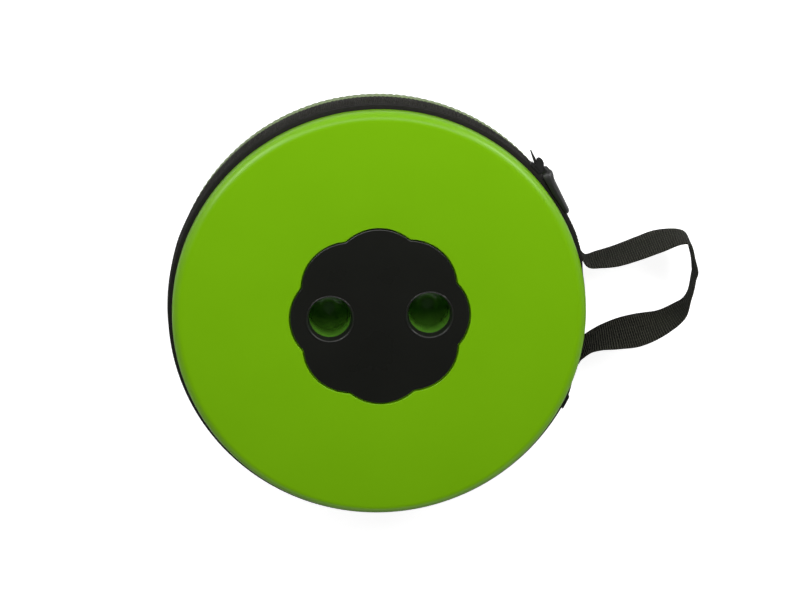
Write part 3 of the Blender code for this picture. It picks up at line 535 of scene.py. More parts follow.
def stitch_tree():
    """Oval threads along the edges of the input, with their length along the line."""
    tree, given, end = new_tree("stitches along a line", "GeometryNodeTree", [
        ("Line", "Geometry", None), ("Pitch", "Float", STITCH_PITCH * MM),
        ("Thread length", "Float", 1.9 * MM), ("Thread thickness", "Float", 0.5 * MM),
        ("Finish", "Material", None),
    ], [("Seam", "Geometry")])
    curve = add_node(tree, "GeometryNodeMeshToCurve", {"Mesh": given["Line"]})
    evenly = add_node(tree, "GeometryNodeResampleCurve", {
        "Curve": curve["Curve"], "Length": given["Pitch"]}, mode="LENGTH")
    thread = add_node(tree, "GeometryNodeMeshUVSphere", {
        "Segments": 6, "Rings": 4, "Radius": 0.5})
    thickness = given["Thread thickness"]
    size = add_node(tree, "ShaderNodeCombineXYZ", {
        "X": given["Thread length"], "Y": thickness, "Z": thickness})
    tangent = add_node(tree, "GeometryNodeInputTangent")
    aim = add_node(tree, "FunctionNodeAlignRotationToVector", {"Vector": tangent["Tangent"]},
                   axis="X")
    copies = add_node(tree, "GeometryNodeInstanceOnPoints", {
        "Points": evenly["Curve"], "Instance": thread["Mesh"], "Rotation": aim["Rotation"],
        "Scale": size["Vector"]})
    feed(end, {"Seam": made_real(tree, copies["Instances"], given["Finish"], smooth=True)})
    return tree


def sew(name, lines, finish, pitch=STITCH_PITCH, closed=False):
    """Stitch along lines of points on the base."""
    points = []
    edges = []
    for line in lines:
        first = len(points)
        points += [Vector(point) * MM for point in line]
        edges += [(first + k, first + k + 1) for k in range(len(line) - 1)]
        if closed:
            edges.append((len(points) - 1, first))
    mesh = bpy.data.meshes.new(name)
    mesh.from_pydata(points, edges, [])
    piece = place_object(name, mesh)
    run_tree(piece, STITCH_TREE, {
        "Pitch": pitch * MM, "Thread length": pitch * THREAD_SHARE * MM, "Finish": finish})
    dress(piece, "base")


STITCH_TREE = stitch_tree()
print("stitches:", len(STITCH_TREE.nodes), "nodes")

# %% [markdown]
# ## Shader groups
# Two effects recur: the fine grain and mottle of moulded plastic, and the ribs of a woven
# band. Both could be painted as images, but noise and waves need no file and stay sharp
# from near by. Each is a group that puts out masks and heights only. The shader itself
# stays in each material, with its constants on its own sockets.

# %% Moulded grain
GRAIN_PER_METRE = 2600.0


def grain_group():
    """Fine grain for a bump, and a slow mottle for colour and gloss."""
    tree, given, end = new_tree("moulded grain", "ShaderNodeTree", [
        ("Grain per metre", "Float", GRAIN_PER_METRE), ("Mottle per metre", "Float", 22.0),
    ], [("Height", "Float"), ("Mottle", "Float")])
    place = add_node(tree, "ShaderNodeTexCoord")["Object"]
    grain = add_node(tree, "ShaderNodeTexNoise", {
        "Vector": place, "Scale": given["Grain per metre"], "Detail": 3.0, "Roughness": 0.55})
    mottle = add_node(tree, "ShaderNodeTexNoise", {
        "Vector": place, "Scale": given["Mottle per metre"], "Detail": 4.0})
    feed(end, {"Height": grain["Fac"], "Mottle": mottle["Fac"]})
    return tree


GRAIN = grain_group()
print("grain group:", len(GRAIN.nodes), "nodes")

# %% Woven ribs
WOBBLE_SCALE = 160.0
YARN_DEPTH = 0.28


def wave(tree, place, per_metre, shift=0.0):
    """A cosine across a coordinate, with so many waves to the metre."""
    turns = maths(tree, "MULTIPLY_ADD", place, per_metre, shift)
    return maths(tree, "COSINE", maths(tree, "MULTIPLY", turns, math.tau))


def ribs_group():
    """Ribs across a band, from its UV in metres, with the yarns that cross them."""
    tree, given, end = new_tree("woven ribs", "ShaderNodeTree", [
        ("Ribs per metre", "Float", 830.0), ("Yarns per metre", "Float", 1500.0),
        ("Unevenness", "Float", 0.5),
    ], [("Height", "Float"), ("Shade", "Float")])
    uv = add_node(tree, "ShaderNodeUVMap", uv_map="band")["UV"]
    split = add_node(tree, "ShaderNodeSeparateXYZ", {"Vector": uv})
    wobble = add_node(tree, "ShaderNodeTexNoise", {"Vector": uv, "Scale": WOBBLE_SCALE})
    drift = maths(tree, "MULTIPLY", wobble["Fac"], given["Unevenness"])
    rib = wave(tree, split["Y"], given["Ribs per metre"], drift)
    yarn = wave(tree, split["X"], given["Yarns per metre"])
    height = maths(tree, "MULTIPLY_ADD", yarn, YARN_DEPTH, rib)
    # Shade is a mask for painted shade: low in the grooves between the ribs, high on their tops.
    feed(end, {"Height": height, "Shade": map_range(tree, height, (-1.0, 1.0))})
    return tree


RIBS = ribs_group()
print("ribs group:", len(RIBS.nodes), "nodes")

# %% [markdown]
# ## Materials
# The lid, the rings and the base are moulded plastic, the slider and the zip's ends are
# enamelled black, and the screws are zinc plated. One roughness and one colour each would
# look like a toy, so a grain bump, a slow change of gloss and a faint change of colour are
# added. On the lid and the plate, faces that lie level mirror less than rounded edges.
# That keeps the top an even green, as in the picture, while the edges still shine.

# %% Plastic finishes
COAT_ROUGHNESS = 0.12
GRAIN_STRENGTH = 0.6
MOTTLE_RANGE = (0.3, 0.7)
LEVEL_TO_TILTED = (0.99, 0.9)


def shade_mix(tree, mask, low, high):
    """A colour between two, by a mask."""
    return add_node(tree, "ShaderNodeMix", {0: mask, 6: (*low, 1.0), 7: (*high, 1.0)},
                    data_type="RGBA")[2]


def mirror_less(tree, flat, edge):
    """Less mirroring on faces that lie level, and the full amount on rounded edges."""
    place = add_node(tree, "ShaderNodeTexCoord")
    split = add_node(tree, "ShaderNodeSeparateXYZ", {"Vector": place["Normal"]})
    return map_range(tree, split["Z"], LEVEL_TO_TILTED, (flat, edge))


def new_material(name):
    """A material, its tree and its shader."""
    made = bpy.data.materials.new(name)
    made.use_nodes = True
    return made, made.node_tree, made.node_tree.nodes["Principled BSDF"]


def plastic(name, low, high, gloss, grain=GRAIN_PER_METRE, depth=0.02, specular=0.5, coat=0.0,
            metal=0.0, flat=None):
    """Moulded plastic or lacquer. gloss is its lowest and highest roughness."""
    made, tree, shader = new_material(name)
    marks = add_node(tree, "ShaderNodeGroup", {"Grain per metre": grain}, node_tree=GRAIN)
    bump = add_node(tree, "ShaderNodeBump", {
        "Distance": depth * MM, "Strength": GRAIN_STRENGTH, "Height": marks["Height"]})
    feed(shader, {
        "Base Color": shade_mix(tree, marks["Mottle"], low, high),
        "Roughness": map_range(tree, marks["Mottle"], MOTTLE_RANGE, gloss),
        "Normal": bump["Normal"], "Specular IOR Level": specular, "Metallic": metal,
        "Coat Weight": coat, "Coat Roughness": COAT_ROUGHNESS})
    if flat is not None:
        feed(shader, {"Specular IOR Level": mirror_less(tree, flat, specular)})
    return made


LID_GREEN = plastic(
    "lid_green", (0.152, 0.378, 0.0032), (0.166, 0.402, 0.0042), (0.3, 0.37),
    specular=0.36, flat=0.03)
RING_GREEN = plastic(
    "ring_green", (0.15, 0.40, 0.004), (0.17, 0.43, 0.006), (0.36, 0.46), specular=0.3)
BASE_GREEN = plastic("base_green", (0.15, 0.39, 0.005), (0.17, 0.42, 0.007), (0.4, 0.5))
RING_BLACK = plastic("ring_black", (0.026, 0.027, 0.026), (0.036, 0.037, 0.035), (0.38, 0.5))
PLATE_BLACK = plastic(
    "plate_black", (0.008, 0.0084, 0.0072), (0.0122, 0.0128, 0.011),
    (0.26, 0.38), grain=3400.0, specular=0.9, flat=0.06)
CUP_GREEN = plastic(
    "cup_green", (0.085, 0.25, 0.02), (0.1, 0.29, 0.028), (0.13, 0.2),
    depth=0.004, specular=0.6, coat=0.5)
# The clamp ring is the base's lime green, painted paler and duller: painted shade with painted
# glare.
GRIP_GREEN_SHADE_AND_GLARE = plastic("grip_green_painted_shade_and_glare", (0.17, 0.23, 0.095), (0.21, 0.28, 0.12), (0.42, 0.55))
SOLE_RUBBER = plastic(
    "sole_rubber", (0.036, 0.036, 0.036), (0.055, 0.055, 0.054),
    (0.7, 0.85), grain=1500.0, depth=0.08)
PULLER_BLACK = plastic(
    "puller_black", (0.009, 0.009, 0.0088), (0.016, 0.016, 0.0155),
    (0.38, 0.5), grain=2200.0, depth=0.04)
ENAMEL_BLACK = plastic(
    "enamel_black", (0.012, 0.012, 0.012), (0.02, 0.02, 0.02), (0.22, 0.32), depth=0.01)
ZINC = plastic("zinc_plate", (0.5, 0.51, 0.52), (0.6, 0.61, 0.62), (0.26, 0.4), metal=1.0)
print("plastic and metal finishes made")

# %% [markdown]
# ## Cloth
# The wall, the webbing and the zip tapes are woven with ribs across the band. The ribs
# could be modelled, at the price of very many faces. A bump and painted shade, a darker
# colour in the grooves between the ribs, do the same at this size. They follow the piece's
# own UV map, which is in metres, so every band keeps the real pitch of its weave.

# %% Cloth finishes
CLOTH_SPECULAR = 0.2
SHEEN_ROUGHNESS = 0.5
DUST = {"Grain per metre": 900.0, "Mottle per metre": 60.0}
DUST_SHARE = 0.3
GROOVE_SHADE_SHARE = 0.8


def cloth(name, low, high, ribs, yarns, depth, rough=0.82, sheen=0.03):
    """A ribbed band, with painted shade that darkens the grooves between its ribs."""
    made, tree, shader = new_material(name)
    weave = add_node(tree, "ShaderNodeGroup", {
        "Ribs per metre": ribs, "Yarns per metre": yarns}, node_tree=RIBS)
    dust = add_node(tree, "ShaderNodeGroup", DUST, node_tree=GRAIN)
    # Real dust mottle, plus painted shade: the colour is darkest in the grooves between the ribs.
    dust_and_groove_shade = maths(tree, "MULTIPLY_ADD", dust["Mottle"], DUST_SHARE,
                 maths(tree, "MULTIPLY", weave["Shade"], GROOVE_SHADE_SHARE))
    bump = add_node(tree, "ShaderNodeBump", {"Distance": depth * MM, "Height": weave["Height"]})
    feed(shader, {
        "Base Color": shade_mix(tree, dust_and_groove_shade, low, high), "Normal": bump["Normal"],
        "Roughness": rough, "Specular IOR Level": CLOTH_SPECULAR,
        "Sheen Weight": sheen, "Sheen Roughness": SHEEN_ROUGHNESS})
    return made


WALL_CLOTH = cloth(
    "wall_cloth", (0.0004, 0.0004, 0.0002), (0.03, 0.0285, 0.021), 880.0, 400.0, 0.45, sheen=0.0)
WEBBING = cloth(
    "webbing", (0.0012, 0.0012, 0.0008), (0.04, 0.04, 0.029), 700.0, 400.0, 0.5, sheen=0.01)
ZIP_CLOTH = cloth(
    "zip_cloth", (0.006, 0.006, 0.005), (0.016, 0.015, 0.013), 1500.0, 1500.0, 0.1)
THREAD = cloth(
    "thread", (0.02, 0.02, 0.018), (0.05, 0.05, 0.045), 2200.0, 2200.0, 0.05, rough=0.6)
print("cloth finishes made")

# %% [markdown]
# ## The lid
# The seat is one moulded shell: a flat top, a generous rounded edge, a short skirt and a
# lobed pocket in its middle. The pocket could be cut out with eight cylinders. Its edge is
# worked out from the eight circles instead, and the lid's outline is turned with 320
# columns that end on it, so the rounded brim has clean faces. A disc floors the pocket.
# Two holes for the finger cups are cut in the disc with a Boolean modifier, because two
# holes off the axis don't fit a turned outline.

# %% The lobed outline
LOBES = 8
LOBE_RADIUS = 28.7
LOBE_OFFSET = 25.8
LOBE_TURN = math.radians(-0.4)
LOBE_BLEND = 0.3
LOBED_COLUMNS = 320
HUB_COLUMNS = 160
HOLE_COLUMNS = 96


def circle_reach(lean, grow):
    """Distance from the centre to the edge of one lobe's circle."""
    across = LOBE_OFFSET * math.sin(lean)
    return LOBE_OFFSET * math.cos(lean) + math.sqrt((LOBE_RADIUS + grow) ** 2 - across ** 2)


def lobed_radius(angle, grow=0.0):
    """Edge of eight overlapping circles, with the inward points between them eased."""
    share = math.tau / LOBES
    lean = (angle - LOBE_TURN + share / 2) % share - share / 2
    near = circle_reach(lean, grow)
    beside = circle_reach(share - abs(lean), grow)
    return near + LOBE_BLEND * math.log1p(math.exp((beside - near) / LOBE_BLEND))


print("lobes reach from", round(lobed_radius(LOBE_TURN + math.pi / LOBES), 1), "to",
      round(lobed_radius(LOBE_TURN), 1), "mm")

# %% The lid's shell
FINGERS = {"left": (-30.0, 0.0), "right": (30.0, 0.0)}
CUP_OUTER = 15.4
CUP_CLEARANCE = 0.3
POCKET_GROW = 0.35
LID_THICKNESS = 2.5
LID_EDGE = 6.0


def cut_finger_holes(piece, radius, low):
    """Cut both finger holes through a piece."""
    bm = bmesh.new()
    for place in FINGERS.values():
        turn(bm, [(0.0, low), (radius, low), (radius, SEAT_TOP), (0.0, SEAT_TOP)],
             HOLE_COLUMNS, place)
    carve(piece, bm, sharp=50)


def lid_outline(angle):
    """Rounded brim of the pocket, flat top, edge, skirt and underside at one angle."""
    edge = lobed_radius(angle, POCKET_GROW)
    under = SEAT_TOP - LID_THICKNESS
    inside = SEAT_RADIUS - LID_THICKNESS
    return eased([
        (edge, under, 0.3), (edge, SEAT_TOP, 0.35), (SEAT_RADIUS, SEAT_TOP, LID_EDGE),
        (SEAT_RADIUS, SKIRT_BOTTOM, 0.8), (inside, SKIRT_BOTTOM, 0.6),
        (inside, under, LID_EDGE - LID_THICKNESS),
    ], steps=9)


lid = turned_piece("seat_lid", lid_outline, LOBED_COLUMNS, LID_GREEN, "seat", ("seat_shell",),
                   "seat_green", sharp=50)
hub = turned_piece("hub_disc", eased([
    (0.0, HUB_BOTTOM, 0), (HUB_RADIUS, HUB_BOTTOM, 0.6), (HUB_RADIUS, POCKET_FLOOR, 0.3),
    (0.0, POCKET_FLOOR, 0)]), HUB_COLUMNS, LID_GREEN, None)
cut_finger_holes(hub, CUP_OUTER + CUP_CLEARANCE, HUB_BOTTOM - 1.0)
dress(hub, "seat", ("seat_hub",), "seat_green")
print("lid:", len(lid.data.polygons), "faces; hub:", len(hub.data.polygons), "faces")

# %% [markdown]
# ## Ribs under the lid
# A thin lid bends under a sitter unless ribs hold it up. Eight radial ribs run from the
# disc to the skirt. Each could be drawn in its place. One is drawn along X and softened
# with a bevel, and the tree of turned copies sets the eight.

# %% Build the ribs
RIB_HALF = 0.8
RIB_TOP = SEAT_TOP - 2.0
RIB_BOTTOM = SEAT_TOP - 7.5
RIB_SHELF = HUB_BOTTOM + 0.5
RIB_OUTLINE = [(65.3, RIB_SHELF), (67.5, RIB_SHELF), (70.0, RIB_BOTTOM), (114.8, RIB_BOTTOM),
               (123.2, RIB_BOTTOM - 2.5), (123.2, 51.0), (115.0, RIB_TOP), (65.3, RIB_TOP)]

# One of eight radial ribs from the hub to the skirt
bm = bmesh.new()
loft(bm, [[(x, y, z) for x, z in RIB_OUTLINE] for y in (-RIB_HALF, RIB_HALF)])
bmesh.ops.bevel(bm, geom=bm.edges[:], offset=0.25, segments=2, affect="EDGES")
ribs = turned_copies("seat_ribs", bm, LID_GREEN, "seat", LOBES, math.pi / LOBES,
                     math.tau / LOBES)
print("ribs:", len(ribs.data.polygons), "faces")

# %% [markdown]
# ## The pull plate and its cups
# Fingers in the plate's two holes pull the seat up. The plate is thin and black with softly
# rounded lobes. It is turned like the lid, a little inside the edge of the pocket, so that
# both follow the same lobes. Each finger hole has a round rim that stands a little proud,
# and a collar that reaches down into a blind glossy cup. Rims and cups could be cut from
# blocks, but round pieces are quickest to turn from an outline, each about the axis of its
# own hole.

# %% The plate
HOLE_RADIUS = 12.5
RIM_SEAT = 1.7
PLATE_SHRINK = 0.5


def plate_outline(angle):
    """The plate's section at one angle."""
    edge = lobed_radius(angle, -PLATE_SHRINK)
    return eased([(0.0, PLATE_BOTTOM, 0), (edge, PLATE_BOTTOM, 0.3), (edge, PLATE_TOP, 0.7),
                  (0.0, PLATE_TOP, 0)], steps=6)


plate = turned_piece("pull_plate", plate_outline, LOBED_COLUMNS, PLATE_BLACK, None, sharp=60)
cut_finger_holes(plate, HOLE_RADIUS + RIM_SEAT, PLATE_BOTTOM - 1.0)
dress(plate, "seat", ("centre_plate",), "plate_black")
print("plate:", len(plate.data.polygons), "faces")

# %% Rims and cups
CUP_DEPTH = 33.0
CUP_WALL = 1.4
CUP_INNER = CUP_OUTER - CUP_WALL
CUP_FLOOR_INNER = 12.6
CUP_LIP = 3.2
RIM_WIDTH = 2.0
COLLAR_WIDTH = 1.2
COLLAR_DEPTH = 5.6
CUP_COLUMNS = 128


def build_rim(side, place):
    """A rounded rim whose collar narrows on its way down into the cup."""
    outer = HOLE_RADIUS + RIM_WIDTH
    collar = HOLE_RADIUS + COLLAR_WIDTH
    foot = PLATE_TOP - COLLAR_DEPTH
    shelf = PLATE_BOTTOM + 0.3
    outline = eased([(HOLE_RADIUS, foot, 0.2), (collar, foot, 0.2), (collar, shelf, 0),
                     (outer, shelf, 0), (outer, RIM_TOP, 0.3),
                     (HOLE_RADIUS + 1.25, RIM_TOP, 0.6)], steps=8)
    turned_piece(f"finger_rim_{side}", outline, CUP_COLUMNS, PLATE_BLACK, "seat",
                 slot="plate_black", centre=place)


def build_cup(side, place):
    """A blind cup with a rounded floor."""
    top = POCKET_FLOOR - 0.3
    under_lip = top - 1.2
    lip = CUP_INNER + CUP_LIP
    floor, under = top - CUP_DEPTH, top - CUP_DEPTH - CUP_WALL
    outline = eased([
        (0.0, under, 0), (CUP_FLOOR_INNER + CUP_WALL, under, 7.0), (CUP_OUTER, under_lip, 0),
        (lip, under_lip, 0.3), (lip, top, 0.3), (CUP_INNER, top, 0.4),
        (CUP_FLOOR_INNER, floor, 12.3), (0.0, floor, 0),
    ], steps=8)
    turned_piece(f"finger_cup_{side}_fine", outline, CUP_COLUMNS, CUP_GREEN, "seat",
                 (f"finger_cup_{side}",), "cup_green", sharp=60, centre=place)


for finger_side, finger_place in FINGERS.items():
    build_rim(finger_side, finger_place)
    build_cup(finger_side, finger_place)
print("two rims and two cups")

# %% [markdown]
# ## The nested rings
# Each ring is a thin wall with an inward lip at its head. Six notches in the lip let the
# lugs of the next ring through in a short turn. A Boolean modifier could cut the notches
# in ten rings, sixty cuts in all. Instead the outline that is turned has no lip where a
# notch is. It changes in a step there, so the columns are packed closely on both sides of
# every step.

# %% Angles with steps
LUGS = 6
LUG_SHARE = math.tau / LUGS
NOTCH_START = LUG_SHARE / 2
NOTCH_SPAN = math.radians(20.0)
STEP_EASE = math.radians(0.25)
RING_COLUMNS = 144


def notch_angles(count):
    """Even columns plus close pairs at the sides of every notch."""
    steps = []
    for lug in range(LUGS):
        start = NOTCH_START + LUG_SHARE * lug
        steps += [start, start + NOTCH_SPAN]
    angles = [a for a in even_angles(count)
              if all(abs((a - s + math.pi) % math.tau - math.pi) > 3 * STEP_EASE for s in steps)]
    for step in steps:
        angles += [(step - STEP_EASE) % math.tau, (step + STEP_EASE) % math.tau]
    return sorted(angles)


def in_notch(angle):
    """Whether an angle lies in a notch."""
    return (angle - NOTCH_START) % LUG_SHARE < NOTCH_SPAN


print(len(notch_angles(RING_COLUMNS)), "columns for a ring")

# %% The rings and their lugs
RINGS = 10
RING_STEP = 6.0
RING_HEIGHT = 38.0
STAGE_WALL = 2.0
LIP_REACH = 5.6
LIP_THICKNESS = 2.0
NOTCH_STUB = 0.25
TUBE_RADIUS = 57.0
LUG_REACH = 3.6
LUG_HEIGHT = 3.0
LUG_ARC = (0.6, 9.4)
RING_LOOKS = ((RING_GREEN, "ring_green"), (RING_BLACK, "ring_black"))


def ring_outline(outer):
    """The section of a ring as a function of the angle."""
    inner, lip = outer - STAGE_WALL, outer - LIP_REACH
    low, high = RING_BOTTOM, RING_BOTTOM + RING_HEIGHT
    under = high - LIP_THICKNESS
    plain = eased([(inner, low, 0.5), (outer, low, 0.5), (outer, high, 0.6), (lip, high, 0.4),
                   (lip, under, 0.4), (inner, under, 0.4)], steps=3)
    cut = [(max(r, inner - NOTCH_STUB) if r < inner - 0.01 else r, z) for r, z in plain]
    return lambda angle: cut if in_notch(angle) else plain


def build_lugs(name, radius, finish, body, slot):
    """Six lugs at the foot of a ring or of the tube."""
    low, high = RING_BOTTOM + 0.4, RING_BOTTOM + 0.4 + LUG_HEIGHT
    inner, outer = radius - 0.6, radius + LUG_REACH
    section = [(inner, low), (outer, low), (outer, high), (inner, high)]
    turned_copies(name, bent_block(section, *LUG_ARC, segments=2), finish, body, LUGS, 0.0,
                  LUG_SHARE, slot=slot)


for ring_number in range(1, RINGS + 1):
    ring_radius = TUBE_RADIUS + RING_STEP * (RINGS + 1 - ring_number)
    ring_finish, ring_slot = RING_LOOKS[ring_number % 2]
    node, stage = f"ring_{ring_number}", f"stage_{ring_number}"
    turned_piece(node + "_wall", ring_outline(ring_radius), notch_angles(RING_COLUMNS),
                 ring_finish, stage, (node,), ring_slot)
    build_lugs(node + "_lugs", ring_radius, ring_finish, stage, ring_slot)
print("ten rings with", LUGS, "lugs each")

# %% [markdown]
# ## The seat tube and its screws
# The innermost stage is a tube with a flange, which four screws hold to the disc under the
# seat. Two more hold the pull plate. A screw could be a plain disc at this size, but its
# recess is what makes it a screw. The head and the shank are turned, and two crossing
# blocks are cut out of the head. Each screw takes its place from its solid's own box.

# %% Build the tube and the screws
SCREW_SHANK = 1.5
SCREW_HEAD = 2.0
CROSS_SLOTS = ((0.35, 1.7), (1.7, 0.35))
CROSS_DEPTH = 1.1
SCREW_COLUMNS = 40


def build_screw(node):
    """A pan-head screw with a crossed recess, over its CAD node."""
    low, high = in_mm(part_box(node))
    x, y = (low[0] + high[0]) / 2, (low[1] + high[1]) / 2
    head, foot, top = (high[0] - low[0]) / 2, low[2], high[2]
    under = foot + SCREW_HEAD
    outline = eased([(0.0, foot, 0), (head, foot, 1.3), (head, under, 0.2),
                     (SCREW_SHANK, under, 0), (SCREW_SHANK, top, 0.3), (0.0, top, 0)])
    screw = turned_piece(f"{node}_fine", outline, SCREW_COLUMNS, ZINC, None, centre=(x, y))
    bm = bmesh.new()
    for across, along in CROSS_SLOTS:
        add_block(bm, (x - across, y - along, foot - 1.0),
                  (x + across, y + along, foot + CROSS_DEPTH))
    carve(screw, bm, sharp=40, crossed=True)
    dress(screw, "seat", (node,), "screw_steel")


# The innermost stage with its flange
FLANGE_TOP = HUB_BOTTOM - 0.3
FLANGE_FOOT = FLANGE_TOP - 2.0
TUBE_INNER = TUBE_RADIUS - STAGE_WALL
turned_piece("seat_tube_wall", eased([
    (TUBE_INNER, RING_BOTTOM, 0.5), (TUBE_RADIUS, RING_BOTTOM, 0.5),
    (TUBE_RADIUS, FLANGE_FOOT, 0.6), (HUB_RADIUS, FLANGE_FOOT, 0.5),
    (HUB_RADIUS, FLANGE_TOP, 0.3), (TUBE_INNER, FLANGE_TOP, 0.3),
], steps=4), RING_COLUMNS, RING_BLACK, "seat", ("seat_tube",), "ring_black")
build_lugs("seat_tube_lugs", TUBE_RADIUS, RING_BLACK, "seat", "ring_black")
SCREWS = [f"flange_screw_{k}" for k in range(1, 5)] + ["plate_screw_1", "plate_screw_2"]
for screw_node in SCREWS:
    build_screw(screw_node)
print("tube and", len(SCREWS), "screws")

# %% [markdown]
# ## The base
# The base is a shallow tray with the same notched lip at its head. A rubber ring and a
# centre pad carry it. All three are round, so they are turned like the rings. The groove
# in the foot ring is only four more corners in its outline.

# %% Tray and feet
TRAY_OUTER = 123.3
TRAY_INNER = 121.0
TRAY_LIP = 117.4
TRAY_FLOOR = (2.0, 4.0)
FOOT_TOP = 1.7
FOOT_GROOVE = 0.8
PAD_RADIUS = 20.0
BASE_COLUMNS = 180
PAD_COLUMNS = 72


def tray_outline(angle):
    """The tray's section, open at its notches."""
    low, high = TRAY_FLOOR
    lip = TRAY_INNER - NOTCH_STUB if in_notch(angle) else TRAY_LIP
    under = WALL_TOP - LIP_THICKNESS
    return eased([
        (0.0, low, 0), (TRAY_OUTER, low, 1.6), (TRAY_OUTER, WALL_TOP, 0.5), (lip, WALL_TOP, 0.1),
        (lip, under, 0.1), (TRAY_INNER, under, 0.1), (TRAY_INNER, high, 0.8), (0.0, high, 0),
    ], steps=3)


turned_piece("base_tray", tray_outline, notch_angles(BASE_COLUMNS), BASE_GREEN, "base",
             ("base_shell",), "base_green")
turned_piece("foot_ring", eased([
    (104, FOOT_TOP, 0), (104, 0, 0.5), (108, 0, 0.2), (108.3, FOOT_GROOVE, 0.2),
    (111.7, FOOT_GROOVE, 0.2), (112, 0, 0.2), (116, 0, 0.5), (116, FOOT_TOP, 0),
], steps=3), BASE_COLUMNS, SOLE_RUBBER, "base", ("base_foot_ring",), "rubber")
turned_piece("centre_pad", eased([
    (0.0, 0, 0), (PAD_RADIUS, 0, 0.5), (PAD_RADIUS, FOOT_TOP, 0), (0.0, FOOT_TOP, 0),
]), PAD_COLUMNS, SOLE_RUBBER, "base", ("centre_foot_pad",), "rubber")
print("tray, foot ring and pad")

# %% [markdown]
# ## The ribbed clamp ring
# A green ring with fine upright ribs clamps the hem of the fabric wall to the base. It is
# painted sage: painted shade and painted glare on the base's lime green.
# The ribs could be a bump in the material, but they show at the ring's edge, where a bump
# stays flat. One rounded rib is drawn and 184 turned copies of it lie on a thin band.

# %% Build the clamp ring
BUMPS = 184
BUMP_HALF = 1.95
BUMP_DEPTH = 0.65
BUMP_SIDES = 8
GRIP_COLUMNS = 240
GRIP_LOW = grip_low[2] + 0.1
GRIP_HIGH = grip_high[2] - 0.1
GRIP_INNER = 125.4
GRIP_OUTER = GRIP_INNER + 0.5
BUMP_ROWS = ((GRIP_LOW, 0.72), (GRIP_LOW + 0.4, 1.0), (GRIP_HIGH - 0.5, 1.0),
             (GRIP_HIGH - 0.1, 0.7))

# A thin ring, and one of its rounded upright bumps
turned_piece("grip_band", eased([
    (GRIP_INNER, GRIP_LOW, 0.2), (GRIP_OUTER, GRIP_LOW, 0.2), (GRIP_OUTER, GRIP_HIGH, 0.2),
    (GRIP_INNER, GRIP_HIGH, 0.2),
], steps=2), GRIP_COLUMNS, GRIP_GREEN_SHADE_AND_GLARE, "base", ("base_grip_ring",), "base_green")
turns = [math.pi * side / BUMP_SIDES for side in range(BUMP_SIDES + 1)]
bm = bmesh.new()
loft(bm, [[(GRIP_INNER + 0.2 + BUMP_DEPTH * share * math.sin(t), -BUMP_HALF * math.cos(t), z)
           for t in turns] for z, share in BUMP_ROWS])
bumps = turned_copies("grip_bumps", bm, GRIP_GREEN_SHADE_AND_GLARE, "base", BUMPS, 0.0, math.tau / BUMPS,
                      sharp=60, slot="base_green")
print("bumps:", len(bumps.data.polygons), "faces")

# %% [markdown]
# ## The fabric wall
# The wall is a ribbed band, a little fuller at two thirds of its height, where the rings
# inside press it out. It could be let fall as simulated cloth, but it is stretched between
# the clamp ring and the zip. A radius that changes with the height and the angle is
# enough, with a little noise for small puckers, and it gives the same wall each time. Under
# the strap, where the picture shows the wall hidden behind the seat's edge, the cloth and
# its tapes are drawn in.

# %% The wall's shape
HEM_OUTER = 125.1
ZIP_OUTER = 127.6
WALL_PEAK = 128.2
CLOTH_RADIUS = 127.0
CLOTH_THICKNESS = 1.1
TUCK_DEPTH = 2.0
TUCK_START, TUCK_FADE = -27, 7
STRAP_TUCK = (34, 8)
ZIP_TUCK = (15, 7)
PUCKER_DEPTH = 0.55
PUCKER_START = 0.22
PUCKERS_ROUND = 6.0
PUCKERS_PER_MM = 0.03
SWELL_POWER = 1.7
HEM_EASE = 2.2
TOP_EASE = 0.86


def smooth_step(share):
    """Zero to one with level ends."""
    share = min(max(share, 0.0), 1.0)
    return share * share * (3 - 2 * share)


def wall_share(height):
    """Zero at the wall's hem and one at its top."""
    return (height - WALL_BOTTOM) / (WALL_TOP - WALL_BOTTOM)


def tuck(angle, last, fade):
    """How far the strap draws the cloth in, up to a last angle in degrees."""
    lean = math.degrees(math.atan2(math.sin(angle), math.cos(angle)))
    return (TUCK_DEPTH * smooth_step((lean - TUCK_START) / TUCK_FADE)
            * smooth_step((last - lean) / fade))


def wall_radius(height, angle):
    """The wall's outer radius at a height and an angle."""
    share = wall_share(height)
    straight = HEM_OUTER + (ZIP_OUTER - HEM_OUTER) * share
    swell = WALL_PEAK - (HEM_OUTER + (ZIP_OUTER - HEM_OUTER) * 2 / 3)
    full = straight + swell * math.sin(math.pi * share ** SWELL_POWER)
    near_top = smooth_step((share - TOP_EASE) / (1 - TOP_EASE))
    under_strap = tuck(angle, *STRAP_TUCK) * (1 - near_top)
    return full - max(under_strap, tuck(angle, *ZIP_TUCK)) * smooth_step(share * HEM_EASE)


def puckered_radius(height, angle):
    """The wall's radius with small folds that fade out at the hem and the zip."""
    share = (wall_share(height) - PUCKER_START) / (1.0 - PUCKER_START)
    calm = math.sin(math.pi * min(max(share, 0.0), 1.0))
    place = Vector((math.cos(angle) * PUCKERS_ROUND, math.sin(angle) * PUCKERS_ROUND,
                    height * PUCKERS_PER_MM))
    return wall_radius(height, angle) + PUCKER_DEPTH * calm * noise.noise(place)


print("the wall swells by", round(WALL_PEAK - ZIP_OUTER, 1), "mm over the zip")

# %% [markdown]
# ## The zip
# A zip is two tapes with a row of nylon teeth on the edge of each. The rows mesh, so the
# upper one is half a pitch further round. Teeth could be a pattern on a strip, but a few
# small blocks cast the shadows that make a zip. A tooth has a few dozen faces at most,
# because there are several hundred of them. The rows stop at the slider and at the zip's
# far end, and no zip runs past the strap.

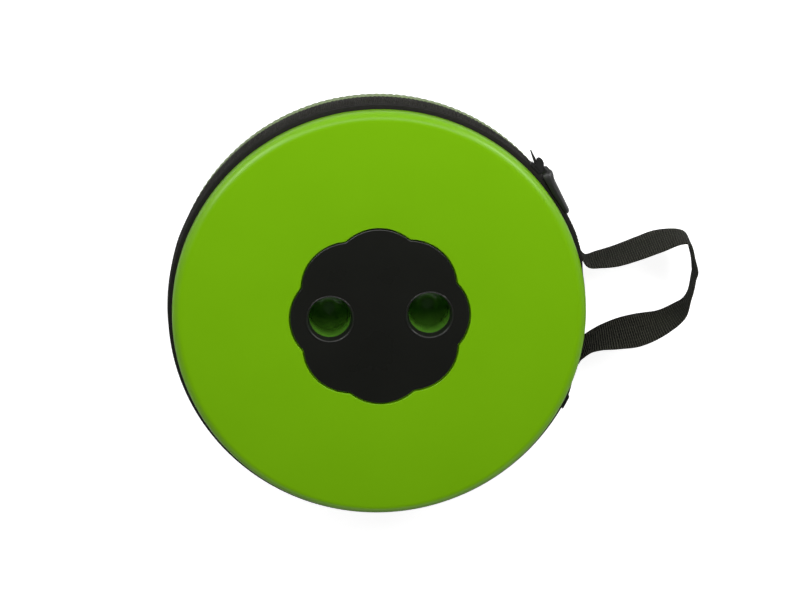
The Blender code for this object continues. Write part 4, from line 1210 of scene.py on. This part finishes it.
# %% Tapes and teeth
TAPE_INNER = 122.6
TAPE_COLUMNS = 360
TEETH_START = math.radians(42.5)
TEETH_END = math.radians(329.0)
TOOTH_PITCH = 1.5 / ZIP_OUTER
TOOTH_HALF = 0.36
TOOTH_SPAN = (123.4, 127.2)
TOOTH_BITE = 1.0
TOOTH_FOOT = 0.15


def band_uv(bm):
    """UV in metres, up the band and along it, so that the ribs run across the band."""
    layer = bm.loops.layers.uv.new("band")
    for face in bm.faces:
        angles = [math.atan2(loop.vert.co.y, loop.vert.co.x) for loop in face.loops]
        widest = max(angles)
        for loop, angle in zip(face.loops, angles):
            if widest - angle > math.pi:
                angle += math.tau
            loop[layer].uv = (loop.vert.co.z * MM, angle * CLOTH_RADIUS * MM)


def build_tape(name, low, high, body, node):
    """One tape with a rounded outer edge."""
    def outline(angle):
        outer = ZIP_OUTER - tuck(angle, *ZIP_TUCK)
        return eased([(TAPE_INNER, low, 0.3), (outer, low, 0.7), (outer, high, 0.7),
                      (TAPE_INNER, high, 0.3)], steps=3)

    turned_piece(name, outline, TAPE_COLUMNS, ZIP_CLOTH, body, (node,), "zip_tape", band=True,
                 sharp=70)


def build_teeth(name, low, high, body, offset):
    """One row of nylon teeth on a tape's facing edge."""
    bm = bmesh.new()
    add_block(bm, (TOOTH_SPAN[0], -TOOTH_HALF, low), (TOOTH_SPAN[1], TOOTH_HALF, high))
    soften(bm, 0.16, segments=1)
    count = int((TEETH_END - TEETH_START) / TOOTH_PITCH)
    return turned_copies(name, bm, ENAMEL_BLACK, body, count, TEETH_START + offset * TOOTH_PITCH,
                         TOOTH_PITCH, slot="zip_tape")


build_tape("zip_tape_low", WALL_TOP + TAPE_GAP, ZIP_LOW, "base", "zip_lower_tape")
build_tape("zip_tape_high", ZIP_HIGH, ZIP_HIGH + TAPE_THICKNESS, "seat", "zip_upper_tape")
low_teeth = build_teeth("zip_teeth_low", ZIP_LOW - TOOTH_FOOT, ZIP_LOW + TOOTH_BITE, "base", 0.0)
build_teeth("zip_teeth_high", ZIP_HIGH - TOOTH_BITE, ZIP_HIGH + TOOTH_FOOT, "seat", 0.5)
print("teeth:", len(low_teeth.data.polygons), "faces in the lower row")

# %% [markdown]
# ## The cloth and its seam
# The cloth is one closed tube with an outer and an inner face. A single face with a
# Solidify modifier would give the same, but the outline already has both sides. A seam runs
# round it above the clamp ring.

# %% Hang the wall's cloth
WALL_COLUMNS = 480
WALL_ROWS = 22
WALL_HEIGHTS = [WALL_BOTTOM + (WALL_TOP - WALL_BOTTOM) * k / WALL_ROWS
                for k in range(WALL_ROWS + 1)]


def wall_outline(angle):
    """The outer and the inner face of the cloth tube at one angle."""
    outside = [(puckered_radius(z, angle) - 0.1, z) for z in WALL_HEIGHTS]
    return outside + [(r - CLOTH_THICKNESS, z) for r, z in reversed(outside)]


wall = turned_piece("cloth_wall", wall_outline, WALL_COLUMNS, WALL_CLOTH, "base",
                    ("fabric_wall",), "wall_fabric", band=True, sharp=70)
print("wall:", len(wall.data.polygons), "faces")

# %% The hem's seam, the zip box and the pin
SEAM_HEIGHT = grip_high[2] + 2.0
SEAM_LIFT = 0.05
SEAM_POINTS = 360
END_FACES = (127.7, 128.7)
END_ARC = (329.0, 333.0)


def build_end_block(name, low, high, body, node):
    """A small moulded block bent to the zip's curve."""
    near, far = END_FACES
    section = ((near, low), (far, low), (far, high), (near, high))
    finish_piece(name, bent_block(section, *END_ARC, segments=3), ENAMEL_BLACK, body, (node,),
                 "zip_plastic")


seam = []
for seam_angle in even_angles(SEAM_POINTS):
    reach = puckered_radius(SEAM_HEIGHT, seam_angle) + SEAM_LIFT
    seam.append((reach * math.cos(seam_angle), reach * math.sin(seam_angle), SEAM_HEIGHT))
sew("wall_seam", [seam], THREAD, closed=True)
build_end_block("zip_box_fine", WALL_TOP + TAPE_GAP, ZIP_HIGH - 0.3, "base", "zip_box")
build_end_block("zip_pin_fine", ZIP_HIGH, ZIP_HIGH + TAPE_THICKNESS, "seat", "zip_pin")
print("one seam round the wall's hem, and the zip's box and pin")

# %% [markdown]
# ## The slider and its puller
# The slider is a small enamelled casting: a plate outside the zip, one inside it, a wedge
# between them, two ears, a bar for the puller and a thin tongue that springs off its back.
# It could be sculpted, but each of these is an outline with a thickness, so they are skinned
# one by one where the zip crosses the X axis. One matrix then carries them round to where
# the slider is parked. The puller is a metal link with a chunky moulded grip, flat inside
# and rounded outside. The grip is skinned through twelve sections, because its width and
# its depth both change along it.

# %% The slider
PARK = 41.0
PARKED = Matrix.Rotation(math.radians(PARK), 4, "Z") @ Matrix.Translation((0, 0, ZIP_MIDDLE))
BAR_AXIS = 132.1
BAR_RADIUS = 0.8
EAR_THICKNESS = 0.9
SLIDER_PLATES = ((127.9, 129.9), (119.9, 121.9))
PLATE_OUTLINE = [(-4.5, -1.7), (-2.4, -2.4), (2.4, -2.4), (4.5, -1.9), (4.5, 2.2), (2.4, 2.7),
                 (-2.4, 2.7), (-4.5, 2.0)]
EAR_OUTLINE = [(129.0, -4.6), (130.6, -4.2), (132.2, -3.0), (133.4, -1.9), (134.6, -0.4),
               (135.0, 1.0), (134.8, 2.7), (134.0, 3.7), (133.0, 3.8), (132.0, 3.0),
               (131.0, 2.5), (129.0, 2.2)]
SLIDER_LOW, SLIDER_HIGH = -2.4, 2.7
TONGUE_STEPS = 8
WEDGE = ((121.0, -1.5, -0.5), (128.9, 1.5, 0.5))
BAR_COLUMNS = 24


def tongue_section(t):
    """The thin pointed tongue at a share of its length, bent away from the wall."""
    along = 1.5 + 8.9 * t
    near = 129.5 + 4.0 * t ** 1.1
    far = near + 2.4 - 1.6 * t
    half = 1.6 - 0.8 * t
    return [(near, along, -half), (far, along, -half), (far, along, half), (near, along, half)]


# Plates, wedge and ears are softened. Bar and tongue stay as they are drawn.
bm = bmesh.new()
for faces in SLIDER_PLATES:
    loft(bm, [[(x, y, z) for y, z in PLATE_OUTLINE] for x in faces])
add_block(bm, *WEDGE)
for ear in (SLIDER_LOW, SLIDER_HIGH - EAR_THICKNESS):
    loft(bm, [[(x, y, z) for x, y in EAR_OUTLINE] for z in (ear, ear + EAR_THICKNESS)])
soften(bm, 0.3)
low, high = SLIDER_LOW + 0.5, SLIDER_HIGH - 0.5
turn(bm, [(0.0, low), (BAR_RADIUS, low), (BAR_RADIUS, high), (0.0, high)],
     BAR_COLUMNS, (BAR_AXIS, 0.0))
loft(bm, [tongue_section(step / TONGUE_STEPS) for step in range(TONGUE_STEPS + 1)])
bmesh.ops.transform(bm, matrix=PARKED, verts=bm.verts)
finish_piece("slider_casting", bm, ENAMEL_BLACK, "slider", ("zip_slider",), "zip_metal")
print("slider parked at", PARK, "degrees")

# %% The puller
HANG = (PARKED @ Matrix.Translation((BAR_AXIS, 0, 0))
        @ Matrix.Rotation(math.radians(-100.0), 4, "Z"))
GRIP_LEAN = (Matrix.Rotation(math.radians(-3.0), 4, "Z")
             @ Matrix.Rotation(math.radians(10.0), 4, "X"))
LINK = ((1.6, -0.5, -0.84), (11.0, 0.5, 0.84))
KNUCKLE = (1.1, 1.9)
KNUCKLE_HALF = 1.05
KNUCKLE_COLUMNS = 32
GRIP_STATIONS = (
    # along, width, depth outwards, depth inwards
    (2.4, 2.4, 2.0, 1.1), (2.8, 2.6, 2.9, 1.4), (5.6, 2.8, 3.7, 1.7), (6.4, 6.0, 4.0, 1.6),
    (8.0, 7.6, 4.1, 1.4), (9.8, 8.6, 3.7, 1.5), (12.4, 9.0, 2.8, 1.5), (16.0, 9.0, 2.5, 1.5),
    (21.0, 8.6, 2.2, 1.4), (27.0, 7.8, 1.8, 1.1), (33.2, 7.0, 1.4, 0.7), (34.0, 6.4, 1.2, 0.5),
)


def hang(bm, lean=Matrix.Identity(4)):
    """Move what was drawn along X from the bar's axis to where the puller hangs."""
    bmesh.ops.transform(bm, matrix=HANG @ lean, verts=bm.verts)
    return bm


def grip_section(along, width, out, inward):
    """A rounded outline across the grip: flat inside, fuller outside."""
    side, ridge = width / 2, width / 4
    corners = [(-inward, -side, 0.5), (-inward, side, 0.5), (out * 0.55, side, 0.5),
               (out, ridge, 0.7), (out, -ridge, 0.7), (out * 0.55, -side, 0.5)]
    return [(along, y, z) for y, z in eased(corners, steps=3)]


# The metal link with its knuckle, and the moulded grip
bm = bmesh.new()
add_block(bm, *LINK)
soften(bm, 0.15)
inner, outer = KNUCKLE
turn(bm, [(inner, -KNUCKLE_HALF), (outer, -KNUCKLE_HALF), (outer, KNUCKLE_HALF),
          (inner, KNUCKLE_HALF)], KNUCKLE_COLUMNS)
finish_piece("puller_link", hang(bm), ENAMEL_BLACK, "puller", ("puller_tab",), "zip_metal")
bm = bmesh.new()
loft(bm, [grip_section(*station) for station in GRIP_STATIONS])
finish_piece("puller_handle", hang(bm, GRIP_LEAN), PULLER_BLACK, "puller", ("puller_grip",),
             "puller_plastic", sharp=45)
print("puller with", len(GRIP_STATIONS), "stations")

# %% [markdown]
# ## The webbing strap
# The strap is one flat band of ribbed webbing. Its upper end lies along the wall, sewn down
# with a box of stitches. It folds away from the wall, leans as it goes out, turns over at
# its far corner and comes back to a second, shorter sewn end. A curve object with a bevel
# could make it, but the curve's tilt is hard to steer where the band turns over. So a
# smooth curve is worked out through chosen points, each with its own lean, and at each step
# the band's width is set square to the run. Its UV map is in metres along and across the
# band.

# %% The strap's route
STRAP_WIDTH = 25.0
STRAP_THICKNESS = 1.4
STRAP_MIDDLE = 26.99
TAIL_MIDDLE = 129.2
STRAP_ROUTE = (
    # out from the wall along X, along Y and up, and the lean in degrees
    (-2.8, 52.6, 0.0, 0.0), (-2.3, 46.8, 0.0, 0.0), (-1.8, 40.7, 0.0, 0.0),
    (-2.1, 34.2, 0.0, 0.0), (-1.8, 27.2, 0.0, 2.0), (1.3, 21.4, 0.0, 5.0),
    (9.1, 21.9, 0.0, 11.0), (20.2, 23.7, 0.0, 16.6), (34.3, 27.8, 0.0, 19.8),
    (47.2, 31.7, 0.0, 19.5), (60.3, 34.0, 0.0, 9.2), (65.8, 31.8, 0.0, 4.8),
    (66.3, 22.7, 0.0, 6.6), (66.6, 14.4, 0.0, 0.0), (65.2, 8.0, 0.0, -17.0),
    (62.4, -3.0, 0.0, -12.0), (57.7, -11.9, 0.0, 12.7), (46.7, -19.5, 0.0, 23.2),
    (32.4, -23.8, 0.0, 38.0), (20.0, -25.7, 0.8, 32.5), (10.5, -27.8, 0.0, 21.5),
    (4.2, -30.8, -1.2, 14.1), (-0.8, -35.6, -1.9, 12.0), (-2.2, -39.8, -2.2, 10.0),
)
ROUTE_STEPS = 14


def route_point(out, across, up, lean):
    """A point of the route as (x, y, z, lean), with the lean in radians."""
    wall = math.sqrt(TAIL_MIDDLE ** 2 - across ** 2)
    return Vector((wall + out, across, STRAP_MIDDLE + up, math.radians(lean)))


def smooth_route(points, steps):
    """A smooth curve through every point."""
    route = []
    last = len(points) - 1
    for index in range(last):
        before, start = points[max(index - 1, 0)], points[index]
        end, after = points[index + 1], points[min(index + 2, last)]
        for step in range(steps):
            t = step / steps
            route.append(0.5 * (2 * start + (end - before) * t
                                + (2 * before - 5 * start + 4 * end - after) * t ** 2
                                + (3 * start - before - 3 * end + after) * t ** 3))
    route.append(points[last])
    return route


ROUTE = smooth_route([route_point(*row) for row in STRAP_ROUTE], ROUTE_STEPS)
strap_length = sum((b.xyz - a.xyz).length for a, b in zip(ROUTE, ROUTE[1:]))
print("strap is", round(strap_length), "mm long from end to end")

# %% Sweep the strap
BAND_SECTION = [(-0.5, 0.28), (-0.47, 0.46), (-0.4, 0.5), (0.4, 0.5), (0.47, 0.46), (0.5, 0.28),
                (0.5, -0.28), (0.47, -0.46), (0.4, -0.5), (-0.4, -0.5), (-0.47, -0.46),
                (-0.5, -0.28)]


def band_frames(route):
    """Centre, width and thickness directions at each step of the route."""
    frames = []
    for index, point in enumerate(route):
        before = route[max(index - 1, 0)]
        after = route[min(index + 1, len(route) - 1)]
        along = (after.xyz - before.xyz).normalized()
        width = Vector((0.0, -math.sin(point.w), math.cos(point.w)))
        width = (width - along * width.dot(along)).normalized()
        frames.append((point.xyz, width, along.cross(width)))
    return frames


# The loop and both sewn ends in one piece, with the band's UV in metres
frames = band_frames(ROUTE)
bm = bmesh.new()
layer = bm.loops.layers.uv.new("band")
rows = loft(bm, [[centre + width * across * STRAP_WIDTH + face * thick * STRAP_THICKNESS
                  for across, thick in BAND_SECTION] for centre, width, face in frames])
spots = {}
run = 0.0
for index, row in enumerate(rows):
    if index:
        run += (frames[index][0] - frames[index - 1][0]).length
    for vert, (across, _) in zip(row, BAND_SECTION):
        spots[vert] = (across * STRAP_WIDTH * MM, run * MM)
for face in bm.faces:
    if len(face.verts) == 4:
        for loop in face.loops:
            loop[layer].uv = spots[loop.vert]
strap = finish_piece("webbing_strap", bm, WEBBING, "base",
                     ("handle_loop", "handle_tail_upper", "handle_tail_lower"), "webbing",
                     sharp=60)
print("strap:", len(strap.data.polygons), "faces")

# %% Stitches on the sewn ends
BOX_HALF = 10.0
BOX_STEPS = 16
BOX_PITCH = 2.2
STITCH_LIFT = 0.75


def strap_point(step, across):
    """A point on the outer face of the strap."""
    index = min(int(step), len(ROUTE) - 2)
    frames = band_frames(ROUTE[max(index - 1, 0):index + 3])
    centre, width, face = frames[min(index, 1)]
    outward = face if face.dot(Vector((centre.x, centre.y, 0.0))) > 0 else -face
    centre = centre.lerp(ROUTE[index + 1].xyz, step - index)
    return centre + width * across + outward * STITCH_LIFT


def box_stitch(start, end):
    """Four sides and two crossing lines inside a sewn end."""
    top, bottom = BOX_HALF, -BOX_HALF
    corners = [(start, bottom), (end, bottom), (end, top), (start, top), (start, bottom),
               (end, top)]
    lines = []
    for path in (corners, [(start, top), (end, bottom)]):
        line = []
        for (a, b), (c, d) in zip(path, path[1:]):
            line += [strap_point(a + (c - a) * k / BOX_STEPS, b + (d - b) * k / BOX_STEPS)
                     for k in range(BOX_STEPS)]
        line.append(strap_point(*path[-1]))
        lines.append(line)
    return lines


sew("upper_end_stitches", box_stitch(3.0, ROUTE_STEPS * 3.2), THREAD, pitch=BOX_PITCH)
sew("lower_end_stitches", box_stitch(len(ROUTE) - 1 - ROUTE_STEPS * 1.5, len(ROUTE) - 4.0),
    THREAD, pitch=BOX_PITCH)
print("both ends sewn down")
